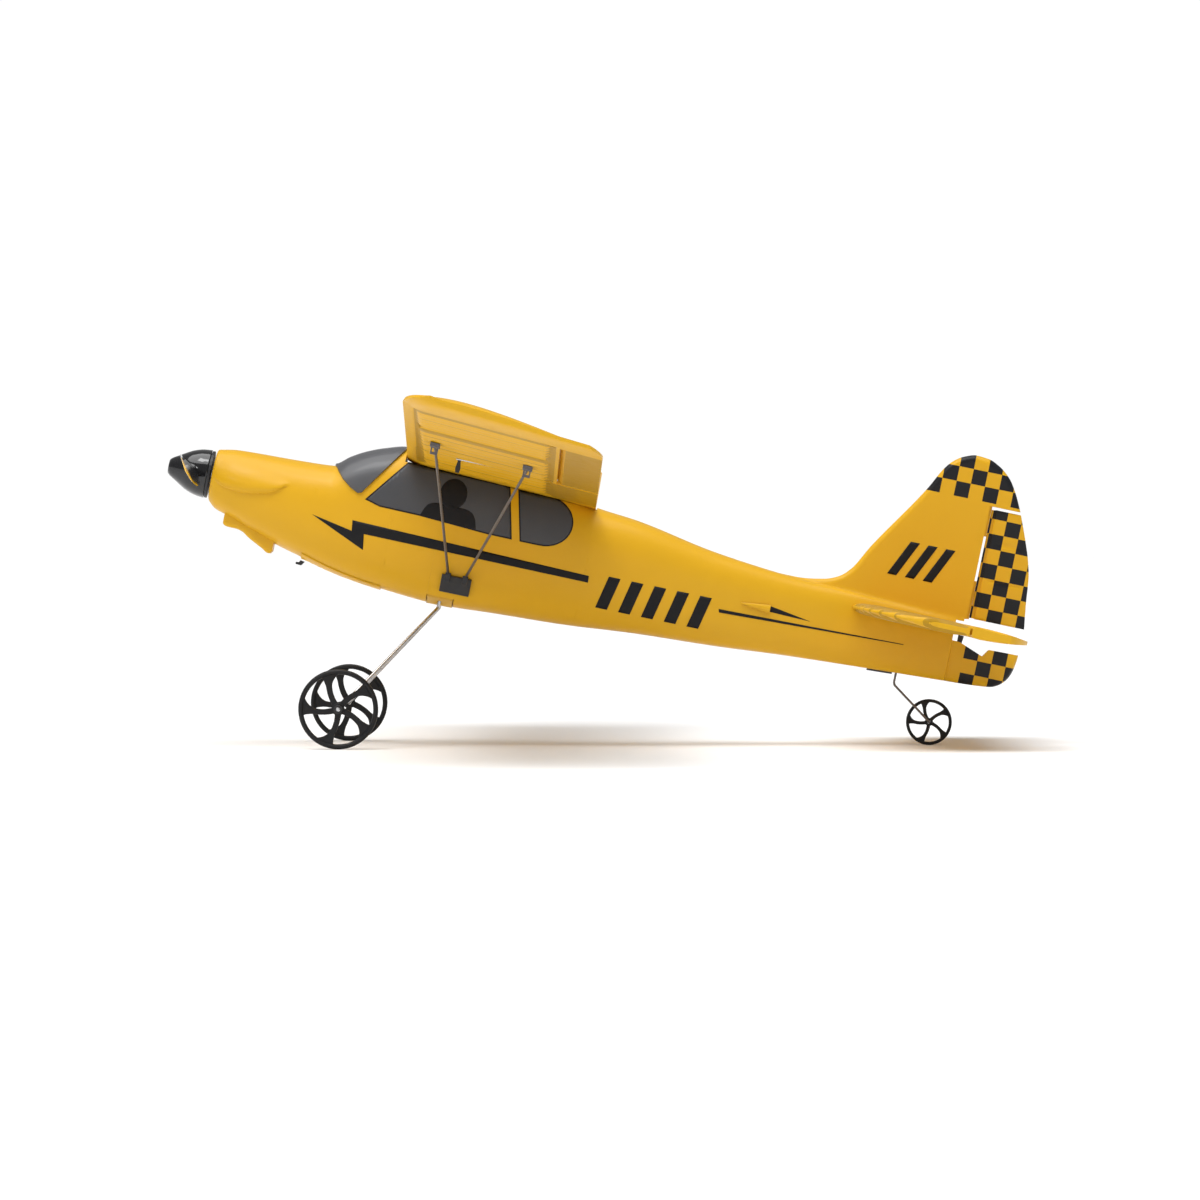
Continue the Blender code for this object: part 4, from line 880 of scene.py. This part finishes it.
def shade_rib_steps(shape):
    """Give the short steps between the tail's ribs painted shade, with the darkened foam."""
    for face in shape.faces:
        middle = face.calc_center_median()
        if (abs(middle.y) % TAIL_RIB_PITCH) / TAIL_RIB_PITCH > 0.84 and abs(middle.y) > 14:
            face.material_index = 1


def stab_front(y):
    over = max(0.0, (abs(y) - 63.0) / 43.0)
    return STAB_NOSE_X + 40.0 * (1 - math.sqrt(1 - over ** 2))


def elevator_rear(y):
    over = max(0.0, (abs(y) - 80.0) / 26.5)
    return ELEVATOR_END_X - 14.0 * (1 - math.sqrt(1 - over ** 2))


STAB_PROFILE = [(0, 0.1), (0.02, 0.46), (0.1, 0.82), (0.3, 0.98), (0.8, 0.96), (1, 0.86)]


def stabiliser():
    rings = []
    for y in spread(-STAB_HALF_SPAN, STAB_HALF_SPAN, 0.8):
        front, back = stab_front(y), ELEVATOR_HINGE_X - 0.6
        thick = STAB_HALF_THICKNESS * (1 - 0.22 * max(0.0, (abs(y) - 70) / 35) ** 2)
        upper, lower = [], []
        for step in range(29):
            part = (step / 28) ** 1.5
            share = smooth_value(STAB_PROFILE, part)
            rib = 1.3 * (tail_rib(y) - 0.8) * ease(0.0, 0.04, part) * (1 - ease(0.88, 0.94, part))
            x = front + (back - front) * part
            upper.append((x, y, STAB_Z + thick * share + rib))
            lower.append((x, y, STAB_Z - thick * share - rib))
        rings.append(upper + lower[::-1])
    shape = add_loft(bmesh.new(), rings)
    shade_rib_steps(shape)
    finish_mesh("stabiliser_skin", shape, FOAM, "airframe", ("stabiliser",), 30.0,
                (FOAM_PAINTED_SHADE,))


def elevator():
    """Both elevator halves on one joiner, cut away to clear the rudder."""
    rings = []
    for y in spread(-STAB_HALF_SPAN, STAB_HALF_SPAN, 0.8):
        front = ELEVATOR_HINGE_X + 0.5
        splay = 364.2 + max(0.0, abs(y) - 2.4) / math.tan(math.radians(RUDDER_SWING + 2.5))
        back = min(elevator_rear(y), splay)
        upper, lower = [], []
        for step in range(15):
            part = step / 14
            x = front + (back - front) * part
            body = 2.7 - 1.9 * ((x - front) / (ELEVATOR_END_X - front)) ** 2
            body *= 0.5 + 0.5 * round_over(part, 0.12)
            ribbed = ease(0.12, 0.22, part) * (1 - ease(0.86, 0.94, part)) * ease(14, 20, abs(y))
            rib = 0.7 * (tail_rib(y) - 0.75) * ribbed
            upper.append((x, y, STAB_Z + body + rib))
            lower.append((x, y, STAB_Z - body - rib))
        rings.append(upper + lower[::-1])
    finish_mesh("elevator_skin", add_loft(bmesh.new(), rings), FOAM, "elevator_body", ("elevator",),
                30.0)


def rudder():
    """Checked rudder, thinner to its rear edge, with two moulded grooves and one hinge tongue."""
    rear_edge = [(7.2, 391.2), (19.8, 389.5), (31.4, 388.3), (38.9, 386.5), (49.9, 382.6), (59.9, 378.6)]
    layers = []
    for side in (1, -1):
        grid = []
        for z in spread(7.2, 59.9, 0.65):
            front, back = 366.4 + 0.7 * (59.9 - z) / 52.7, smooth_value(rear_edge, z)
            groove = 0.32 * max(math.exp(-((z - at) / 0.5) ** 2) for at in (26.0, 44.0))
            ends = round_over(min(z - 7.2, 59.9 - z) + 0.5, 1.3)
            column = []
            for step in range(25):
                x = front + (back - front) * step / 24
                half = 1.9 - 0.9 * ease(370, 391, x)
                half *= ends * round_over(min(x - front, back - x) + 0.35, 1.2)
                reach = ease(front + 2, front + 4, x) * (1 - ease(back - 4, back - 2, x))
                column.append((x, side * max(0.25, half - groove * reach), z))
            grid.append(column)
        layers.append(grid)
    shape = add_layers(bmesh.new(), *layers)
    nose = [(x, y) for y, x in arc((0.0, RUDDER_HINGE_X), (0.45, 0.42), 180, 360, 8)]
    tongue = nose + [(368.0, 0.45), (368.0, -0.45)]
    add_loft(shape, [[(x, y, z) for x, y in tongue] for z in (7.4, 59.7)])
    finish_mesh("rudder_skin", shape, FOAM_RUDDER, "rudder_body", ("rudder",), 34.0)


# ---------------------------------------------------------------- wheels
SPOKE_HALF_WIDTH = [(0, 0.078), (0.3, 0.072), (0.6, 0.078), (0.82, 0.14), (1, 0.25)]


def wheel(node, body, centre, radius, rim, hub, bore, width, phase):
    """Moulded wheel: round rim, hub, and five swept spokes that spread into webs at the rim."""
    def place(along, across, up):
        return centre[0] + across, centre[1] + along, centre[2] + up

    shape = bmesh.new()
    rim_middle = radius - rim / 2
    rim_ring = [(width / 2 * math.copysign(abs(math.cos(a)) ** 0.7, math.cos(a)),
                 rim_middle + rim / 2 * math.sin(a))
                for a in [2 * math.pi * step / 20 for step in range(21)]]
    add_turned(shape, rim_ring, 120, place)
    half = width / 2
    hub_ring = [(-half * 1.1, bore), (-half * 1.1, hub - 0.4), (-half * 0.95, hub), (half * 0.95, hub),
                (half * 1.1, hub - 0.4), (half * 1.1, bore), (-half * 1.1, bore)]
    add_turned(shape, hub_ring, 48, place)
    inner, outer = hub - 0.3, radius - rim + 0.9
    for spoke in range(5):
        left, right = [], []
        for step in range(19):
            part = step / 18
            reach = inner + (outer - inner) * part
            centre_angle = phase + 2 * math.pi * spoke / 5 - 0.36 * part ** 1.25
            side = radius * smooth_value(SPOKE_HALF_WIDTH, part)
            spread_angle = math.asin(min(0.9, side / reach))
            left.append((reach, centre_angle + spread_angle))
            right.append((reach, centre_angle - spread_angle))
        outline = [(r * math.cos(a), r * math.sin(a)) for r, a in left + right[::-1]]
        thin = inset_outline(outline, 0.22 * radius / 18)
        thickness = half * 0.62
        add_loft(shape, [[place(along, x, z) for x, z in ring] for along, ring in
                         ((-thickness, thin), (-thickness * 0.75, outline), (thickness * 0.75, outline),
                          (thickness, thin))])
    finish_mesh(node + "_moulding", shape, WHEEL_BLACK, body, (node,), 42.0)


# ---------------------------------------------------------------- wires
def wires():
    """Struts, undercarriage wires and the steering wire with drawn round bends."""
    for side, word in ((-1, "left"), (1, "right")):
        points = [(117.5, side * 12, -27.0), (117.5, side * 12, -39.6), (116.5, side * 13.6, -41.2),
                  (84.2, side * 55.0, -92.6), (83.0, side * 57.0, -94.3), (83.0, side * 65.0, -94.3)]
        finish_mesh(word + "_gear_wire", add_wire(bmesh.new(), points, 0.8), WIRE, "airframe",
                    (word + "_gear_leg",))
        high_y = section_y(fuselage_section(123.5), -23.0) + 0.75
        for place, foot_x, clip_x, clip_y in (("front", 119.2, 104.8, 155.0), ("rear", 127.5, 147.5, 160.0)):
            foot = (foot_x, side * (high_y + 1.6), -23.0 + 0.2)
            head = (clip_x, side * (clip_y - 1.0), wing_under(clip_x, clip_y) - 1.6)
            finish_mesh(f"{word}_{place}_strut_wire", add_wire(bmesh.new(), [foot, head], 0.65), STRUT,
                        "airframe", (f"{word}_{place}_strut",))
    points = [(336, 0, -12.5), (336, 0, -30.0), (336.6, -0.2, -31.2), (352.6, -3.3, -42.4),
              (355.4, -3.3, -44.4), (356.1, -2.9, -44.9), (356.1, 2.6, -44.9)]
    finish_mesh("tail_fork_wire", add_wire(bmesh.new(), points, 0.55, 12, 1.4), STRUT, "tail_fork",
                ("tail_wheel_wire",))


# ---------------------------------------------------------------- spinner and propeller
def spinner():
    outer = [(-2.5, 10.6), (-2.4, 11.4), (-2.7, 11.55), (-6.5, 11.1), (-11.0, 9.7), (-15.0, 7.5),
             (-17.6, 5.9), (-20.4, 4.2), (-21.3, 3.4), (-21.5, 2.6), (-21.5, 1.6), (-20.9, 1.3), (-20.9, 0)]
    shell = [(-2.5, 10.6), (-11.0, 8.6), (-19.0, 2.0), (-19.0, 0)]
    smooth = [(-x, r) for x, r in outer[2:9]]
    skin = outer[:3] + [(-x, smooth_value(smooth, x)) for x in spread(2.9, 20.2, 0.7)] + outer[8:]
    shape = add_turned(bmesh.new(), skin, 128)
    add_turned(shape, shell, 64)
    bmesh.ops.remove_doubles(shape, verts=shape.verts, dist=1e-4)
    finish_mesh("spinner_shell", shape, GLOSS, "propeller_set", ("spinner",), 50.0)


def propeller():
    """Two twisted blades with rounded edges and painted tips."""
    stations = spread(-64.9, -57, 0.5) + spread(-56, 56, 1.4) + spread(57, 64.9, 0.5)
    rings = []
    for y in stations:
        reach = abs(y) / PROP_RADIUS
        chord = smooth_value([(0, 5.0), (0.1, 5.0), (0.25, 10.0), (0.45, 15.8), (0.65, 17.0), (0.85, 13.6),
                              (0.94, 9.0), (0.985, 4.4), (1, 1.4)], reach)
        thick = smooth_value([(0, 5.0), (0.1, 4.4), (0.25, 2.0), (0.6, 1.3), (1, 0.7)], reach)
        twist = smooth_value([(0, 58), (0.2, 52), (0.5, 44), (1, 36)], reach)
        pitch = math.radians(twist if y < 0 else -twist)
        ring = []
        for step in range(24):
            angle = 2 * math.pi * step / 24
            along, out = chord / 2 * math.cos(angle), thick / 2 * math.sin(angle)
            out += thick * 0.35 * math.sin(angle / 2) ** 2
            ring.append((PROP_X + along * math.sin(pitch) + out * math.cos(pitch), y,
                         -along * math.cos(pitch) + out * math.sin(pitch)))
        rings.append(ring)
    shape = add_loft(bmesh.new(), rings)
    for face in shape.faces:
        if abs(face.calc_center_median().y) > 56.5:
            face.material_index = 1
    finish_mesh("propeller_blades", shape, GLOSS, "propeller_set", ("propeller",), 50.0,
                (TIP_YELLOW,))


# ---------------------------------------------------------------- camera, light and floor
SKY_LEVEL = 0.34
HORIZON_TOP, SKY_FROM = 0.10, 0.15
VIEW_HEIGHT, VIEW_DISTANCE = 0.0948, 2.8


def add_light(name, kind, energy, place, direction):
    light = bpy.data.lights.new(name, kind)
    light.energy = energy
    lamp = bpy.data.objects.new(name, light)
    lamp.location = place
    lamp.rotation_euler = direction.to_track_quat("-Z", "Y").to_euler()
    bpy.context.scene.collection.objects.link(lamp)
    return light


def studio():
    """Wide white floor, soft light from overhead, and a long lens level with the aeroplane."""
    shape = bmesh.new()
    bmesh.ops.create_grid(shape, x_segments=4, y_segments=4, size=40.0)
    mesh = bpy.data.meshes.new("studio_floor")
    shape.to_mesh(mesh)
    shape.free()
    floor = bpy.data.objects.new("studio_floor", mesh)
    bpy.context.scene.collection.objects.link(floor)
    paper = Shader("studio_paper")
    tones = paper.mix(paper.noise(3.0), (0.90, 0.90, 0.90), (0.92, 0.92, 0.92))
    paper.put(paper.surface.inputs["Base Color"], tones)
    paper.fix(paper.surface, Roughness=0.9, Specular_IOR_Level=0.1)
    mesh.materials.append(paper.material)

    world = bpy.data.worlds.new("studio_world")
    world.use_nodes = True
    nodes, links = world.node_tree.nodes, world.node_tree.links
    direction = nodes.new("ShaderNodeTexCoord")
    height = nodes.new("ShaderNodeSeparateXYZ")
    ramp = nodes.new("ShaderNodeValToRGB")
    links.new(direction.outputs["Generated"], height.inputs[0])
    links.new(height.outputs["Z"], ramp.inputs["Fac"])
    links.new(ramp.outputs["Color"], nodes["Background"].inputs["Color"])
    ramp.color_ramp.elements[0].position = HORIZON_TOP
    ramp.color_ramp.elements[0].color = (1.0, 1.0, 1.0, 1.0)
    ramp.color_ramp.elements[1].position = SKY_FROM
    ramp.color_ramp.elements[1].color = (SKY_LEVEL, SKY_LEVEL, SKY_LEVEL, 1.0)
    nodes["Background"].inputs["Strength"].default_value = 1.02
    bpy.context.scene.world = world

    overhead = add_light("overhead", "SUN", 2.75, (0, 0, 0), Vector((0.12, 0.20, -1.0)))
    overhead.angle = math.radians(62)
    for name, place, size, power in (("nose_glint", (-0.75, -0.9, 0.62), 0.16, 0.9),
                                     ("top_glint", (-0.35, -0.4, 1.1), 0.30, 2.2)):
        glint = add_light(name, "AREA", power, place, Vector((0, 0, 0.1)) - Vector(place))
        glint.size = size

    camera = bpy.data.cameras.new("camera")
    camera.lens = 177.2
    camera.sensor_width = 36.0
    viewer = bpy.data.objects.new("camera", camera)
    viewer.location = (0.0, -VIEW_DISTANCE, VIEW_HEIGHT)
    viewer.rotation_euler = (math.radians(90 - 0.533), 0, math.radians(-0.02))
    bpy.context.scene.collection.objects.link(viewer)
    bpy.context.scene.camera = viewer
    bpy.context.scene.view_settings.view_transform = "Standard"


# ---------------------------------------------------------------- CAD nodes kept or refined
REFINED = [("gear_block", YELLOW_PLASTIC, "airframe", "yellow_plastic", 0.3),
           ("hatch_latch", BLACK, "hatch", "black_plastic", 0.12),
           ("elevator_horn", BLACK, "elevator_body", "black_plastic", 0.12),
           ("rudder_horn", BLACK, "rudder_body", "black_plastic", 0.15)]
for hand in ("left", "right"):
    REFINED += [(hand + "_strut_bracket", BLACK, "airframe", "black_plastic", 0.2),
                (hand + "_front_strut_clip", GREY, "airframe", "grey_plastic", 0.18),
                (hand + "_rear_strut_clip", GREY, "airframe", "grey_plastic", 0.18),
                (hand + "_servo_arm", BLACK, hand + "_arm_body", "black_plastic", 0.12),
                (hand + "_wheel_collar", BLACK, "airframe", "black_plastic", 0.12),
                (hand + "_pushrod_fairing", FOAM, "airframe", "yellow_foam", 0.15)]
KEPT_LOOKS = {"battery": FOIL, "flight_controller": BOARD, "motor": WIRE, "motor_shaft": WIRE,
              "motor_pinion": BRASS, "spur_gear": NYLON, "wing_screw": NYLON, "tail_wheel_bush": NYLON,
              "gearbox_frame": GREY, "front_shaft_bearing": WIRE, "rear_shaft_bearing": WIRE,
              "propeller_shaft": WIRE, "spinner_backplate": BLACK, "elevator_servo": BLACK,
              "rudder_servo": BLACK, "left_aileron_servo": BLACK, "right_aileron_servo": BLACK,
              "elevator_pushrod": WIRE, "rudder_pushrod": WIRE, "left_aileron_pushrod": WIRE,
              "right_aileron_pushrod": WIRE}

for hand_side, hand in ((-1, "left"), (1, "right")):
    fuselage_half(hand_side, hand)
    side_prints_and_painted_shade(hand_side, hand)
    aileron(hand, hand_side)
    wheel(hand + "_main_wheel", hand + "_wheel", (83.0, hand_side * 60.4, -94.3), 18.6, 2.4, 2.9, 1.0, 4.0,
          math.radians(62.6))
windshield()
chin_scoop()
belly_plate("hatch_panel", (49.0, 88.5), 12.0, (0.75, 0.15), FOAM, "hatch", ("battery_hatch",))
belly_plate("tail_belly_plate", (322.0, 334.0), 1.6, (0.9, 0.1), BLACK, "airframe", ())
wing()
stabiliser()
elevator()
rudder()
wheel("tail_wheel", "tail_wheel_body", (356.1, 0.3, -44.9), 10.9, 1.55, 1.9, 0.7, 2.4, math.radians(58.6))
wires()
spinner()
propeller()
for node_name, node_look, node_body, node_slot, edge_width in REFINED:
    refine(node_name, node_look, node_body, edge_width)
for node_name, node_look in KEPT_LOOKS.items():
    kept_mesh = frame["nodes"][node_name].data
    kept_mesh.materials.clear()
    kept_mesh.materials.append(node_look)
studio()
